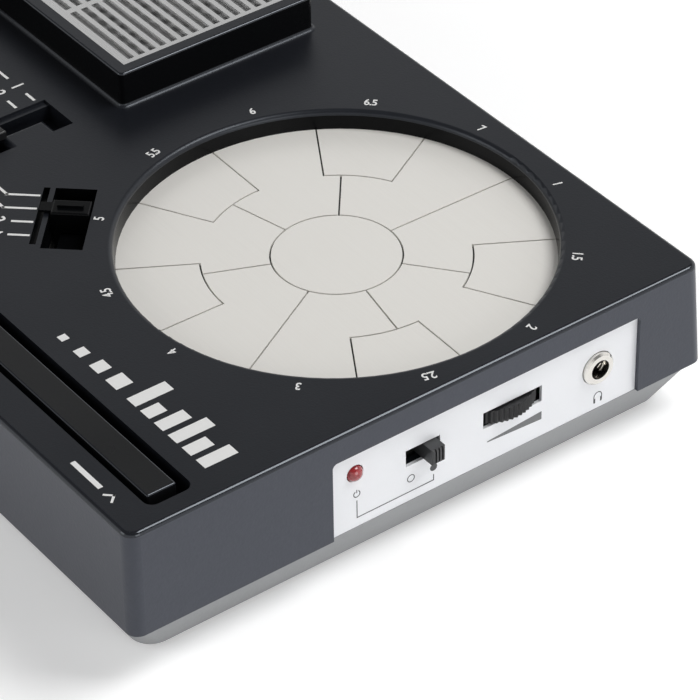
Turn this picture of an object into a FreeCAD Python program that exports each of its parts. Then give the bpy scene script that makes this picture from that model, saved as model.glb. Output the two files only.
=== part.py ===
import FreeCAD, Part
import math
import os

# A desk-top drum machine played with a metal-tipped stylus.
# Units are millimetres. X runs to the right along the long side, Y to the rear, Z up.
# The origin lies on the surface it stands on, under the middle of the overall length and depth.

V = FreeCAD.Vector
UP = V(0, 0, 1)
RIGHT = V(1, 0, 0)

# Upper casing
casing_length = 187.0
casing_depth = 111.85
rear_lean = 1.75
casing_height = 20.4
casing_corner_r = 2.2
casing_edge_r = 0.8
top_wall = 2.2
side_wall = 2.6

# Base shell with walls that slope inwards to the bottom
base_height = 8.2
base_top_inset = 0.7
base_bottom_inset = 4.7
base_top_corner_r = 2.0
base_bottom_corner_r = 4.0
base_bottom_edge_r = 0.6
base_wall = 2.0
base_floor = 2.0
tongue_height = 1.6
tongue_wall = 1.0
joint_gap = 0.2

# Rubber feet
foot_r = 5.0
foot_proud = 1.0
foot_sunk = 0.8
foot_gap = 0.1
foot_from_end = 18.5
foot_from_side = 13.0

# Round touch dial
dial_r = 36.2
dial_draft = 0.4
rim_flare = 0.9
rim_round = 0.9
rim_to_right = 4.3
rim_to_rear = 4.95
dial_depth = 3.44
collar_wall = 1.6

# Touch pads, like piano keys wrapped round a centre disc
pad_thick = 0.5
pad_gap = 0.3
pad_overlap = 1.2
centre_pad_r = 10.8
notch_inner_r = 22.5
notch_span = 30.0
first_number_angle = 75.0
number_step = 30.0
plate_turn = -1.0
first_group_span = 150.0
first_group_keys = 3
second_group_keys = 4

# Board under the pads
board_thick = 1.6
pad_board_border = 1.0
pad_screw_to_corner = 2.07
pad_screw_angle = 22.5
pad_boss_r = 1.9

# Trough for the stylus along the front edge
trough_front_margin = 6.5
trough_right_margin = 3.9
trough_width = 8.3
trough_length = 127.0
trough_depth = 6.2
trough_corner_r = 1.7
trough_wall = 1.5

# Stylus
stylus_width = 5.4
stylus_length = 120.0
stylus_front_gap = 1.2
stylus_end_gap = 2.4
stylus_floor_gap = 0.3
stylus_edge_r = 0.35
stylus_taper_length = 16.0
stylus_nose_size = 3.4
tip_r = 1.2
tip_point_r = 0.5
tip_length = 7.0
tip_socket = 3.0
grommet_bore_r = 0.6
grommet_neck_r = 0.9
grommet_flange_r = 1.1
grommet_flange = 0.4

# Raised speaker box with its grille
box_from_rim = 15.1
box_before_dial = 6.75
box_length = 84.0
box_depth = 40.8
box_height = 6.8
box_corner_r = 1.0
box_edge_r = 0.4
box_foot_r = 0.8
box_wall = 2.0
box_rim = 2.3
grille_gap = 0.1
grille_thick = 1.0
grille_sunk = 0.2
grille_border = 1.1
grille_pitch = 2.25
grille_slot = 1.3
grille_columns = 4
grille_rib = 1.3
cloth_thick = 0.4
ledge_width = 1.5

# Speaker
speaker_r = 18.0
speaker_opening_r = 15.8
speaker_flange = 1.0
basket_depth = 6.0
basket_back_r = 11.0
basket_wall = 0.8
magnet_r = 9.5
magnet_height = 6.0
cone_rim = 1.2
cone_neck_r = 5.0
cone_depth = 4.2
cone_wall = 0.5
speaker_screw_circle = 20.2

# Slide selectors on the top
selector_pitch = 3.75
selector_positions = 4
selector_knob_length = 4.0
selector_end_gap = 0.4
selector_width = 9.0
selector_depth = 3.5
selector_lip_width = 1.3
selector_lip_depth = 0.5
selector_pan_wall = 1.2
selector_side_gap = 0.25
selector_edge_r = 1.0
lever_width = 1.2
lever_length = 2.0
lever_gap = 0.2
sound_from_rim = 25.5
sound_before_dial = 15.9
sound_angle = -90.0
sound_rest = 3
groove_width = 3.4
pocket_length = 3.4
cap_width = 4.7
cap_clear = 0.25
cap_height = 1.55
mode_from_rim = 3.6
mode_inside_rim = 7.3
mode_angle = -42.0
mode_rest = 1
mode_knob_proud = 0.7
guide_slot_width = 1.1
guide_slot_depth = 1.3
guide_strip = 0.9
pointer_length = 2.4
pointer_thick = 0.45
switch_height = 4.0
switch_width = 6.4
switch_end = 2.0
switch_top_gap = 0.3

# Push buttons
button_r = 4.5
button_gap = 0.3
button_proud = 1.5
button_travel = 1.0
button_flange = 0.9
button_flange_height = 1.0
button_edge_r = 0.5
button_pitch = 16.0
button_from_left = 13.5
button_from_front = 21.6
plunger_r = 1.7
plunger_sunk = 0.7
tact_size = 6.0
tact_height = 3.5
tact_well = 2.0
tact_gap = 0.3

# Tempo knob
tempo_from_left = 27.5
tempo_from_front = 43.6
tempo_knob_r = 8.5
tempo_knob_height = 9.0
tempo_knob_gap = 0.5
tempo_flutes = 30
tempo_flute_depth = 0.4
tempo_shaft_r = 3.0
tempo_shaft_gap = 0.1
tempo_bore_gap = 0.05
tempo_hole_gap = 0.4
tempo_bore_depth = 6.0
pot_size = 10.0
pot_height = 6.0
pot_well = 4.0

# End panel and what shows in it, placed from the dial centre and the casing top
panel_front = -31.8
panel_rear = 30.0
panel_top = -5.06
panel_sunk = 0.8
panel_thick = 0.6
panel_corner_r = 0.9
slot_top = -10.06
slot_height = 3.24
led_y = -27.0
led_z = -9.5
led_r = 1.5
led_proud = 1.1
led_length = 6.0
led_flange = 0.3
led_gap = 0.1
power_slot_front = -17.1
power_slot_width = 6.8
power_travel = 3.0
power_end_gap = 0.4
power_knob_width = 2.6
power_knob_gap = 0.15
power_knob_overhang = 1.75
power_knob_grooves = 3
power_groove = 0.35
volume_y = 4.3
volume_slot_width = 11.95
wheel_room = 1.0
wheel_r = 8.2
wheel_thick = 2.5
wheel_overhang = 0.5
wheel_teeth = 56
wheel_tooth_depth = 0.3
wheel_spindle_r = 1.5
wheel_spindle_gap = 0.05
wheel_base = 9.0
wheel_base_gap = 0.2
wheel_spindle_end = 0.4
jack_y = 21.8
jack_z = -12.0
jack_nose_r = 3.0
jack_bore_r = 1.8
jack_nose_gap = 0.1
jack_body_length = 12.0
jack_body_width = 7.0
jack_body_height = 5.0
jack_bore_length = 13.0

# Boards
side_board_length = 28.0
side_board_margin = 0.5
side_board_front = -32.0
side_board_rear = 29.0
side_post_inset_x = 20.0
side_post_inset_y = 6.0
control_board_front_margin = 14.6
control_board_left_margin = 4.0
control_board_reach = 33.0
control_hole_margin = 3.4
head_clear = 0.3
chip_height = 1.6
sound_chip = 10.0
sound_chip_from_front = 6.0
memory_chip_length = 5.0
memory_chip_width = 4.0
chip_spacing = 5.0
amplifier_length = 5.0
amplifier_width = 6.0
amplifier_from_side = 3.0
capacitor_r = 2.5
capacitor_height = 5.5
capacitor_from_side = 4.0
capacitor_from_end = 16.0

# Battery compartment for three round cells
cell_r = 7.1
cell_length = 50.0
cell_pitch = 15.0
cell_count = 3
cell_clear = 0.4
spring_room = 7.5
contact_thick = 0.5
contact_gap = 0.15
contact_width = 8.0
spring_r = 3.2
spring_wall = 0.6
nub_r = 2.6
nub_height = 1.0
nub_gap = 0.1
bay_wall = 1.2
bay_left = 31.5
bay_front = 9.4
door_thick = 1.6
door_lap = 2.0
door_gap = 0.25
door_slide = 4.0
door_frame = 1.8
door_frame_side = 2.0
door_groove = 0.5
door_grooves = 5
door_groove_width = 1.0
door_groove_pitch = 2.0
door_groove_from_end = 6.0
door_groove_from_side = 12.0

# Screws
screw_r = 1.1
screw_head_r = 2.4
screw_head = 1.5
screw_clear_r = 1.4
screw_well_r = 2.7
screw_well = 4.0
screw_bite = 7.0
pilot_gap = 0.05
boss_r = 3.0
post_r = 4.0
small_screw_r = 0.8
small_head_r = 1.5
small_head = 0.9
small_bite = 1.5
small_clear_r = 1.0
corner_screw_x = 9.5
corner_screw_rear = 6.1
corner_screw_front = 10.1
middle_post_clear = 0.4

# Levels and places that follow from the sizes above
base_bottom = foot_proud
joint_z = base_bottom + base_height
casing_top = joint_z + casing_height
top_underside = casing_top - top_wall
casing_centre_x = -power_knob_overhang / 2.0
left_x = casing_centre_x - casing_length / 2.0
right_x = casing_centre_x + casing_length / 2.0
front_y = -(casing_depth + rear_lean) / 2.0
rear_y = front_y + casing_depth
rim_r = dial_r + dial_draft + rim_flare
dial_x = right_x - rim_to_right - rim_r
dial_y = rear_y - rim_to_rear - rim_r
dial_floor = casing_top - dial_depth
pad_board_top = dial_floor - pad_thick
pad_board_bottom = pad_board_top - board_thick
pad_board_half = rim_r + pad_board_border
pad_board_corner = pad_board_half / math.cos(math.pi / 8)
inner_right = right_x - side_wall
recess_floor = casing_top - selector_depth
pan_bottom = recess_floor - selector_pan_wall
control_board_top = pan_bottom - switch_top_gap - switch_height
control_board_bottom = control_board_top - board_thick
panel_face = right_x - panel_sunk
panel_back = panel_face - panel_thick
jack_axis_z = casing_top + jack_z
side_board_top = jack_axis_z - jack_body_height / 2.0
side_board_bottom = side_board_top - board_thick
sound_place = (-rim_r - sound_from_rim, -sound_before_dial)
mode_place = (-rim_r - mode_from_rim, mode_inside_rim - rim_r)
selector_travel = selector_pitch * (selector_positions - 1)
selector_length = selector_travel + selector_knob_length + 2 * selector_end_gap
floor_top = base_bottom + base_floor

trough_x1 = right_x - trough_right_margin
trough_x0 = trough_x1 - trough_length
trough_y0 = front_y + trough_front_margin
trough_y1 = trough_y0 + trough_width
trough_floor = casing_top - trough_depth
stylus_x1 = trough_x1 - stylus_end_gap
stylus_x0 = stylus_x1 - stylus_length
stylus_y0 = trough_y0 + stylus_front_gap
stylus_y1 = stylus_y0 + stylus_width
stylus_bottom = trough_floor + stylus_floor_gap
stylus_axis_y = (stylus_y0 + stylus_y1) / 2.0
stylus_axis_z = (stylus_bottom + casing_top) / 2.0

box_x1 = dial_x - rim_r - box_from_rim
box_x0 = box_x1 - box_length
box_y0 = dial_y - box_before_dial
box_y1 = box_y0 + box_depth
box_top = casing_top + box_height
box_centre_x = (box_x0 + box_x1) / 2.0
box_centre_y = (box_y0 + box_y1) / 2.0
pocket_floor = box_top - grille_sunk - grille_thick - cloth_thick

bay_x0 = left_x + bay_left
bay_x1 = bay_x0 + cell_length + spring_room + 2 * contact_thick
bay_y0 = front_y + bay_front
bay_y1 = bay_y0 + cell_pitch * cell_count + 2 * cell_clear
door_top = base_bottom + door_thick
cell_axis_z = door_top + cell_clear + cell_r
bay_ceiling = cell_axis_z + cell_r + cell_clear
middle_screw_x = bay_x1 + door_lap + door_frame_side + post_r + middle_post_clear
control_board_rear = bay_y1 + bay_wall + small_head_r + head_clear + control_hole_margin


# Shapes used by several pieces

def box(x0, x1, y0, y1, z0, z1):
    return Part.makeBox(x1 - x0, y1 - y0, z1 - z0, V(x0, y0, z0))


def rod(x, y, z0, z1, radius):
    return Part.makeCylinder(radius, z1 - z0, V(x, y, z0), UP)


def rod_x(x0, x1, y, z, radius):
    return Part.makeCylinder(radius, x1 - x0, V(x0, y, z), RIGHT)


def rounded_outline(x0, x1, y0, y1, z, radius):
    corners = [(x1, y0, -90), (x1, y1, 0), (x0, y1, 90), (x0, y0, 180)]
    edges = []
    ends = []
    for x, y, start in corners:
        cx = x - radius if x == x1 else x + radius
        cy = y + radius if y == y0 else y - radius
        arc = Part.Arc(Part.Circle(V(cx, cy, z), UP, radius), math.radians(start), math.radians(start + 90))
        edges.append(arc.toShape())
        ends.append((arc.StartPoint, arc.EndPoint))
    for index in range(4):
        edges.append(Part.LineSegment(ends[index][1], ends[(index + 1) % 4][0]).toShape())
    return Part.Wire(Part.__sortEdges__(edges))


def slab(x0, x1, y0, y1, z0, z1, radius):
    outline = rounded_outline(x0, x1, y0, y1, z0, radius)
    return Part.Face(outline).extrude(V(0, 0, z1 - z0))


def turned(profile, x, y):
    # A profile of (radius, height) points spun about a vertical axis
    points = [V(x + radius, y, height) for radius, height in profile]
    outline = Part.makePolygon(points + [points[0]])
    return Part.Face(outline).revolve(V(x, y, 0), UP, 360)


def ribbed_disc(x, y, z0, z1, radius, teeth, depth):
    # A round wheel whose rim is cut into even upright ribs
    points = []
    for index in range(2 * teeth):
        angle = math.pi * index / teeth
        reach = radius if index % 2 == 0 else radius - depth
        points.append(V(x + reach * math.cos(angle), y + reach * math.sin(angle), z0))
    outline = Part.makePolygon(points + [points[0]])
    return Part.Face(outline).extrude(V(0, 0, z1 - z0))


def edges_where(shape, test):
    return [edge for edge in shape.Edges if test(edge)]


def lies_at(edge, z):
    return all(abs(vertex.Z - z) < 1e-4 for vertex in edge.Vertexes) and abs(edge.CenterOfMass.z - z) < 1e-4


def rises(edge):
    return edge.BoundBox.ZLength > 1e-3


def joined(shapes):
    return shapes[0].fuse(shapes[1:]) if len(shapes) > 1 else shapes[0]


def seated(shape, place, angle):
    # Moves a shape from a selector's own axes to its place on the casing top
    moved = shape.copy()
    moved.rotate(V(0, 0, 0), UP, angle)
    moved.translate(V(dial_x + place[0], dial_y + place[1], 0))
    return moved


def save(name, shape):
    shape.exportStep(os.path.join("parts", name + ".step"))


# Screw places

def corner_screws():
    xs = [left_x + corner_screw_x, middle_screw_x, right_x - corner_screw_x]
    return [(x, y) for x in xs for y in (front_y + corner_screw_front, rear_y - corner_screw_rear)]


def pad_screws():
    places = []
    reach = pad_board_corner - pad_screw_to_corner
    for quarter in range(4):
        angle = math.radians(pad_screw_angle + 90 * quarter)
        places.append((dial_x + reach * math.cos(angle), dial_y + reach * math.sin(angle)))
    return places


def speaker_screws():
    places = []
    for quarter in range(4):
        angle = math.radians(45 + 90 * quarter)
        reach = speaker_screw_circle
        places.append((box_centre_x + reach * math.cos(angle), box_centre_y + reach * math.sin(angle)))
    return places


def control_board_box():
    x0 = left_x + side_wall + control_board_left_margin
    x1 = casing_centre_x + control_board_reach
    y0 = front_y + control_board_front_margin
    return x0, x1, y0, control_board_rear


def control_screws():
    x0, x1, y0, y1 = control_board_box()
    margin = control_hole_margin
    clear_of_dial = dial_x - rim_r - 3 * pad_boss_r
    return [(x0 + margin, y1 - margin), (clear_of_dial, y1 - margin),
            (x0 + margin, button_place(0)[1] + button_pitch * 0.6), (x1 - margin, y0 + margin)]


def side_board_box():
    x1 = inner_right - side_board_margin
    return x1 - side_board_length, x1, dial_y + side_board_front, dial_y + side_board_rear


def side_screws():
    x1 = side_board_box()[1]
    y0, y1 = side_board_box()[2:]
    return [(x1 - side_post_inset_x, y0 + side_post_inset_y), (x1 - side_post_inset_x, y1 - side_post_inset_y)]


def feet_places():
    xs = (left_x + foot_from_end, right_x - foot_from_end)
    return [(x, y) for x in xs for y in (front_y + foot_from_side, rear_y - foot_from_side)]


def button_place(index):
    return left_x + button_from_left + button_pitch * index, front_y + button_from_front


def tempo_place():
    return left_x + tempo_from_left, front_y + tempo_from_front


# Upper casing

def rear_at(z):
    # The rear wall leans out a little from the top down to the lower edge
    return rear_y + rear_lean * (casing_top - z) / casing_height


def leaning_block(inset, z0, z1):
    # As long and deep as the casing less an even inset, with the leaning rear wall
    x = left_x + inset
    corners = [V(x, front_y + inset, z0), V(x, rear_at(z0) - inset, z0),
               V(x, rear_at(z1) - inset, z1), V(x, front_y + inset, z1)]
    end = Part.Face(Part.makePolygon(corners + [corners[0]]))
    block = end.extrude(V(casing_length - 2 * inset, 0, 0))
    return block.makeFillet(casing_corner_r, edges_where(block, rises))


def casing_blank():
    blank = leaning_block(0, joint_z, casing_top)
    return blank.makeFillet(casing_edge_r, edges_where(blank, lambda edge: lies_at(edge, casing_top)))


def casing_hollow():
    return leaning_block(side_wall, joint_z - 1, top_underside)


def speaker_box_blank():
    raised = slab(box_x0, box_x1, box_y0, box_y1, casing_top - top_wall / 2, box_top, box_corner_r)
    return raised.makeFillet(box_edge_r, edges_where(raised, lambda edge: lies_at(edge, box_top)))


def on_box_foot(edge):
    centre = edge.CenterOfMass
    beside = min(abs(centre.x - box_x0), abs(centre.x - box_x1)) < box_corner_r
    before = min(abs(centre.y - box_y0), abs(centre.y - box_y1)) < box_corner_r
    inside = box_x0 - 1e-3 < centre.x < box_x1 + 1e-3 and box_y0 - 1e-3 < centre.y < box_y1 + 1e-3
    return lies_at(edge, casing_top) and inside and (beside or before)


def speaker_box_cuts():
    rim = box_rim
    pocket = box(box_x0 + rim, box_x1 - rim, box_y0 + rim, box_y1 - rim, pocket_floor, box_top + 1)
    inset = rim + ledge_width
    window = box(box_x0 + inset, box_x1 - inset, box_y0 + inset, box_y1 - inset, casing_top, box_top + 1)
    opening = rod(box_centre_x, box_centre_y, top_underside - 1, casing_top + 1, speaker_opening_r)
    return [pocket, window, opening]


def dial_collar():
    return rod(dial_x, dial_y, dial_floor, top_underside + 0.1, rim_r + collar_wall)


def dial_cut():
    # The dial's side wall leans out a little and ends in a rounded rim
    wall_top = dial_r + dial_draft
    start = V(dial_x + wall_top, dial_y, casing_top - rim_round)
    end = V(dial_x + rim_r, dial_y, casing_top)
    lean = rim_round * (1 - math.sqrt(0.5))
    middle = V(dial_x + wall_top + (rim_r - wall_top) * 0.29, dial_y, casing_top - lean)
    low = V(dial_x + dial_r, dial_y, dial_floor - 1)
    foot = V(dial_x, dial_y, dial_floor - 1)
    head = V(dial_x, dial_y, casing_top + 1)
    over = V(dial_x + rim_r, dial_y, casing_top + 1)
    edges = [Part.LineSegment(foot, low).toShape(), Part.LineSegment(low, start).toShape(),
             Part.Arc(start, middle, end).toShape(), Part.LineSegment(end, over).toShape(),
             Part.LineSegment(over, head).toShape(), Part.LineSegment(head, foot).toShape()]
    return Part.Face(Part.Wire(edges)).revolve(V(dial_x, dial_y, 0), UP, 360)


def trough_pan():
    wall = trough_wall
    return slab(trough_x0 - wall, trough_x1 + wall, trough_y0 - wall, trough_y1 + wall,
                trough_floor - wall, top_underside + 0.1, trough_corner_r + wall)


def trough_cut():
    hollow = slab(trough_x0, trough_x1, trough_y0, trough_y1, trough_floor, casing_top + 1, trough_corner_r)
    x, y = grommet_place()
    return hollow.fuse(rod(x, y, trough_floor - trough_wall - 1, trough_floor + 1, grommet_neck_r))


def grommet_place():
    return trough_x1 - grommet_flange_r - 0.05, (trough_y0 + trough_y1) / 2.0


def selector_pan():
    wall = selector_pan_wall
    return box(-wall, selector_length + wall, -wall, selector_width + wall, pan_bottom, top_underside + 0.1)


def selector_lip():
    return box(0, selector_length, 0, selector_lip_width + 0.1, casing_top - selector_lip_depth, casing_top + 1)


def lever_slot():
    along = selector_travel + lever_length + 2 * lever_gap
    start = (selector_length - along) / 2.0
    across = lever_axis() - lever_width / 2.0 - lever_gap
    return box(start, start + along, across, across + lever_width + 2 * lever_gap, pan_bottom - 1, recess_floor + 1)


def lever_axis():
    return selector_lip_width + groove_width / 2.0


def mode_cut():
    # A hollow for the cap and, beside a narrow strip of the top, a slot that its pointer runs over
    low = guide_slot_width + guide_strip
    hollow = box(0, selector_length, low, selector_width, recess_floor, casing_top)
    far_edge = edges_where(hollow, lambda edge: lies_at(edge, casing_top) and edge.BoundBox.XMin > selector_length - 0.01)
    flare = softened_mouth(far_edge[0], selector_edge_r)
    guide = box(0, selector_length, 0, guide_slot_width, casing_top - guide_slot_depth, casing_top + 1)
    return joined([hollow, flare, guide, lever_slot()])


def softened_mouth(edge, radius):
    # The wedge that turns the square far edge of a recess into a slope
    y0 = edge.BoundBox.YMin
    y1 = edge.BoundBox.YMax
    x = edge.BoundBox.XMax
    corner = [V(x - 0.01, y0, casing_top - radius), V(x - 0.01, y0, casing_top + 0.01), V(x + radius, y0, casing_top + 0.01)]
    return Part.Face(Part.makePolygon(corner + [corner[0]])).extrude(V(0, y1 - y0, 0))


def sound_cut():
    # A groove for the lever with a pocket at each end, and a soft-edged island between the pockets
    low = selector_lip_width
    hollow = box(0, selector_length, low, selector_width, recess_floor, casing_top)
    island = box(pocket_length, selector_length - pocket_length - selector_end_gap, low + groove_width,
                 selector_width + 1, recess_floor - 1, casing_top)
    inner_edges = edges_where(island, lambda edge: lies_at(edge, casing_top) and edge.CenterOfMass.y < selector_width)
    island = island.makeFillet(selector_edge_r, inner_edges)
    above = box(0, selector_length, low, selector_width, casing_top - 0.001, casing_top + 1)
    return joined([hollow.cut(island), above, selector_lip(), lever_slot()])


def panel_pocket():
    y0 = dial_y + panel_front
    y1 = dial_y + panel_rear
    z1 = casing_top + panel_top
    depth = panel_sunk + panel_thick
    blank = box(right_x - depth, right_x + 1, y0, y1, joint_z - 1, z1)
    upper = edges_where(blank, lambda edge: edge.BoundBox.XLength > depth and abs(edge.CenterOfMass.z - z1) < 1e-4)
    return blank.makeFillet(panel_corner_r, upper)


def panel_openings(x0, x1, wheel_side_room):
    z1 = casing_top + slot_top
    z0 = z1 - slot_height
    power_y = dial_y + power_slot_front
    volume_half = volume_slot_width / 2.0 + wheel_side_room
    wheel_y = dial_y + volume_y
    return [box(x0, x1, power_y, power_y + power_slot_width, z0, z1),
            box(x0, x1, wheel_y - volume_half, wheel_y + volume_half, z0, z1),
            rod_x(x0, x1, dial_y + led_y, casing_top + led_z, led_r + led_gap),
            rod_x(x0, x1, dial_y + jack_y, jack_axis_z, jack_nose_r + jack_nose_gap)]


def casing_bosses():
    bosses = []
    for x, y in corner_screws():
        under_trough = trough_y0 < y < trough_y1 and x > trough_x0
        top = trough_floor - trough_wall + 0.1 if under_trough else top_underside + 0.1
        bosses.append(rod(x, y, joint_z, top, boss_r))
    for x, y in pad_screws():
        bosses.append(rod(x, y, pad_board_top, top_underside + 0.1, pad_boss_r))
    for x, y in control_screws():
        bosses.append(rod(x, y, control_board_top, top_underside + 0.1, boss_r - 0.5))
    for x, y in speaker_screws():
        bosses.append(rod(x, y, top_underside - speaker_flange, top_underside + 0.1, pad_boss_r))
    return bosses


def casing_pilots():
    holes = []
    for x, y in corner_screws():
        holes.append(rod(x, y, joint_z - 1, joint_z + screw_bite + 1, screw_r + pilot_gap))
    for x, y in pad_screws():
        holes.append(rod(x, y, pad_board_top - 1, pad_board_top + small_bite + 0.5, small_screw_r + pilot_gap))
    for x, y in control_screws():
        holes.append(rod(x, y, control_board_top - 1, control_board_top + 2 * small_bite + 0.5, small_screw_r + pilot_gap))
    for x, y in speaker_screws():
        level = top_underside - speaker_flange
        holes.append(rod(x, y, level - 1, level + small_bite + 0.5, small_screw_r + pilot_gap))
    return holes


def control_holes():
    holes = []
    for index in range(3):
        x, y = button_place(index)
        holes.append(rod(x, y, top_underside - 1, casing_top + 1, button_r + button_gap))
    x, y = tempo_place()
    holes.append(rod(x, y, top_underside - 1, casing_top + 1, tempo_shaft_r + tempo_hole_gap))
    return holes


def upper_casing():
    shell = casing_blank().fuse(speaker_box_blank()).removeSplitter()
    shell = shell.makeFillet(box_foot_r, edges_where(shell, on_box_foot))
    shell = shell.cut(casing_hollow())
    pans = [dial_collar(), trough_pan(), seated(selector_pan(), sound_place, sound_angle),
            seated(selector_pan(), mode_place, mode_angle)]
    inside = box(left_x + 0.5, right_x - 0.5, front_y + 0.5, rear_y - 0.5, joint_z, casing_top - 0.5)
    added = joined(pans + casing_bosses()).common(inside)
    shell = shell.fuse(added)
    cuts = [dial_cut(), trough_cut(), seated(sound_cut(), sound_place, sound_angle),
            seated(mode_cut(), mode_place, mode_angle), panel_pocket()]
    cuts += speaker_box_cuts() + control_holes() + casing_pilots()
    cuts += panel_openings(inner_right - 1, right_x, wheel_room)
    return shell.cut(cuts).removeSplitter()


# Base shell

def base_outline(inset, z, radius):
    return rounded_outline(left_x + inset, right_x - inset, front_y + inset, rear_at(joint_z) - inset, z, radius)


def base_blank():
    bottom = base_outline(base_bottom_inset, base_bottom, base_bottom_corner_r)
    top = base_outline(base_top_inset, joint_z, base_top_corner_r)
    blank = Part.makeLoft([bottom, top], True, True)
    return blank.makeFillet(base_bottom_edge_r, edges_where(blank, lambda edge: lies_at(edge, base_bottom)))


def base_hollow():
    slope = (base_bottom_inset - base_top_inset) / base_height
    low_inset = base_bottom_inset - slope * base_floor + base_wall
    bottom = base_outline(low_inset, floor_top, base_bottom_corner_r - base_wall / 2.0)
    top = base_outline(base_top_inset + base_wall, joint_z, base_top_corner_r)
    return Part.makeLoft([bottom, top], True, True)


def tongue():
    outer = side_wall + joint_gap
    inner = outer + tongue_wall
    bottom = joint_z - 2 * tongue_wall
    top = joint_z + tongue_height
    rear = rear_at(top)
    ring = slab(left_x + outer, right_x - outer, front_y + outer, rear - outer, bottom, top, casing_corner_r)
    return ring.cut(slab(left_x + inner, right_x - inner, front_y + inner, rear - inner,
                         bottom - 1, top + 1, casing_corner_r - tongue_wall / 2.0))


def battery_bay():
    wall = bay_wall
    side = door_lap + door_frame_side
    outer = box(bay_x0 - wall, bay_x1 + wall, bay_y0 - wall, bay_y1 + wall, base_bottom, bay_ceiling + wall)
    frame_top = door_top + 0.15 + door_frame
    frame = box(bay_x0 - side - door_slide, bay_x1 + side, bay_y0 - side, bay_y1 + side, base_bottom, frame_top)
    return outer.fuse(frame)


def door_pocket():
    lap = door_lap + door_gap
    return box(bay_x0 - lap - door_slide, bay_x1 + lap, bay_y0 - lap, bay_y1 + lap, base_bottom - 1, door_top + 0.15)


def base_posts():
    posts = [rod(x, y, base_bottom, joint_z, post_r) for x, y in corner_screws()]
    posts += [rod(x, y, base_bottom, side_board_bottom, boss_r) for x, y in side_screws()]
    return posts


def base_holes():
    holes = []
    for x, y in corner_screws():
        holes.append(rod(x, y, base_bottom - 1, base_bottom + screw_well, screw_well_r))
        holes.append(rod(x, y, base_bottom, joint_z + tongue_height + 1, screw_clear_r))
    for x, y in side_screws():
        holes.append(rod(x, y, side_board_bottom - small_bite - 1, side_board_bottom + 1, small_screw_r + pilot_gap))
    for x, y in feet_places():
        holes.append(rod(x, y, base_bottom - 1, base_bottom + foot_sunk, foot_r + foot_gap))
    return holes


def boss_clearances():
    reach = boss_r + joint_gap
    return [rod(x, y, joint_z, joint_z + tongue_height + 1, reach) for x, y in corner_screws()]


def base_shell():
    shell = base_blank().cut(base_hollow())
    low = base_outline(base_bottom_inset, base_bottom, base_bottom_corner_r)
    high = base_outline(base_top_inset, joint_z, base_top_corner_r)
    envelope = Part.makeLoft([low, high], True, True)
    inner = side_wall + joint_gap + tongue_wall
    above = box(left_x + inner, right_x - inner, front_y + inner, rear_y - inner, joint_z - 1, casing_top)
    added = joined([battery_bay()] + base_posts()).common(envelope.fuse(above))
    ring = tongue().cut(boss_clearances())
    shell = shell.fuse([added, ring])
    bay = box(bay_x0, bay_x1, bay_y0, bay_y1, base_bottom - 1, bay_ceiling)
    return shell.cut([bay, door_pocket()] + base_holes()).removeSplitter()


def battery_door():
    lap = door_lap
    plate = box(bay_x0 - lap, bay_x1 + lap, bay_y0 - lap, bay_y1 + lap, base_bottom, door_top)
    grooves = []
    for index in range(door_grooves):
        x = bay_x1 - door_groove_from_end - door_groove_pitch * index
        grooves.append(box(x, x + door_groove_width, bay_y0 + door_groove_from_side, bay_y1 - door_groove_from_side,
                           base_bottom - 1, base_bottom + door_groove))
    return plate.cut(grooves)


def rubber_feet():
    return Part.makeCompound([rod(x, y, 0, foot_proud + foot_sunk, foot_r) for x, y in feet_places()])


# Touch pads and their board

def sector(r0, r1, start, end, z0, z1):
    a = math.radians(start)
    b = math.radians(end)
    outer = Part.Arc(Part.Circle(V(dial_x, dial_y, z0), UP, r1), a, b)
    inner = Part.Arc(Part.Circle(V(dial_x, dial_y, z0), UP, r0), a, b)
    edges = [outer.toShape(), Part.LineSegment(outer.EndPoint, inner.EndPoint).toShape(),
             inner.toShape(), Part.LineSegment(inner.StartPoint, outer.StartPoint).toShape()]
    return Part.Face(Part.Wire(Part.__sortEdges__(edges))).extrude(V(0, 0, z1 - z0))


def gap_bar(angle, inner):
    reach = dial_r + pad_overlap + 1
    bar = box(inner, reach, -pad_gap / 2.0, pad_gap / 2.0, pad_board_top - 1, dial_floor + 1)
    bar.rotate(V(0, 0, 0), UP, angle)
    bar.translate(V(dial_x, dial_y, 0))
    return bar


def key_dividers():
    # Angles, going clockwise, of the lines between neighbouring full keys
    angles = [90.0 + plate_turn]
    for _ in range(first_group_keys):
        angles.append(angles[-1] - first_group_span / first_group_keys)
    for _ in range(second_group_keys):
        angles.append(angles[-1] - (360.0 - first_group_span) / second_group_keys)
    return angles


def notch_angles():
    # The half-step pads sit where the printed ring shows 1.5, 2.5, 4.5, 5.5 and 6.5
    steps = {"1_5": 1, "2_5": 3, "4_5": 6, "5_5": 8, "6_5": 10}
    angles = {}
    for name, step in steps.items():
        angles[name] = first_number_angle - number_step * step + plate_turn
    return angles


def notch_room(angle):
    half = notch_span / 2.0
    inner = notch_inner_r - pad_gap / 2.0
    outer = dial_r + pad_overlap + 1
    room = sector(inner, outer, angle - half, angle + half, pad_board_top - 1, dial_floor + 1)
    return room.fuse([gap_bar(angle - half, inner), gap_bar(angle + half, inner)])


def full_keys():
    dividers = key_dividers()
    rooms = [notch_room(angle) for angle in notch_angles().values()]
    keys = {}
    for index in range(first_group_keys + second_group_keys):
        start = dividers[index + 1]
        end = dividers[index]
        key = sector(centre_pad_r + pad_gap, dial_r + pad_overlap, start, end, pad_board_top, dial_floor)
        bars = [gap_bar(start, centre_pad_r), gap_bar(end, centre_pad_r)]
        keys[str(index + 1)] = key.cut(bars + rooms)
    return keys


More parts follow.
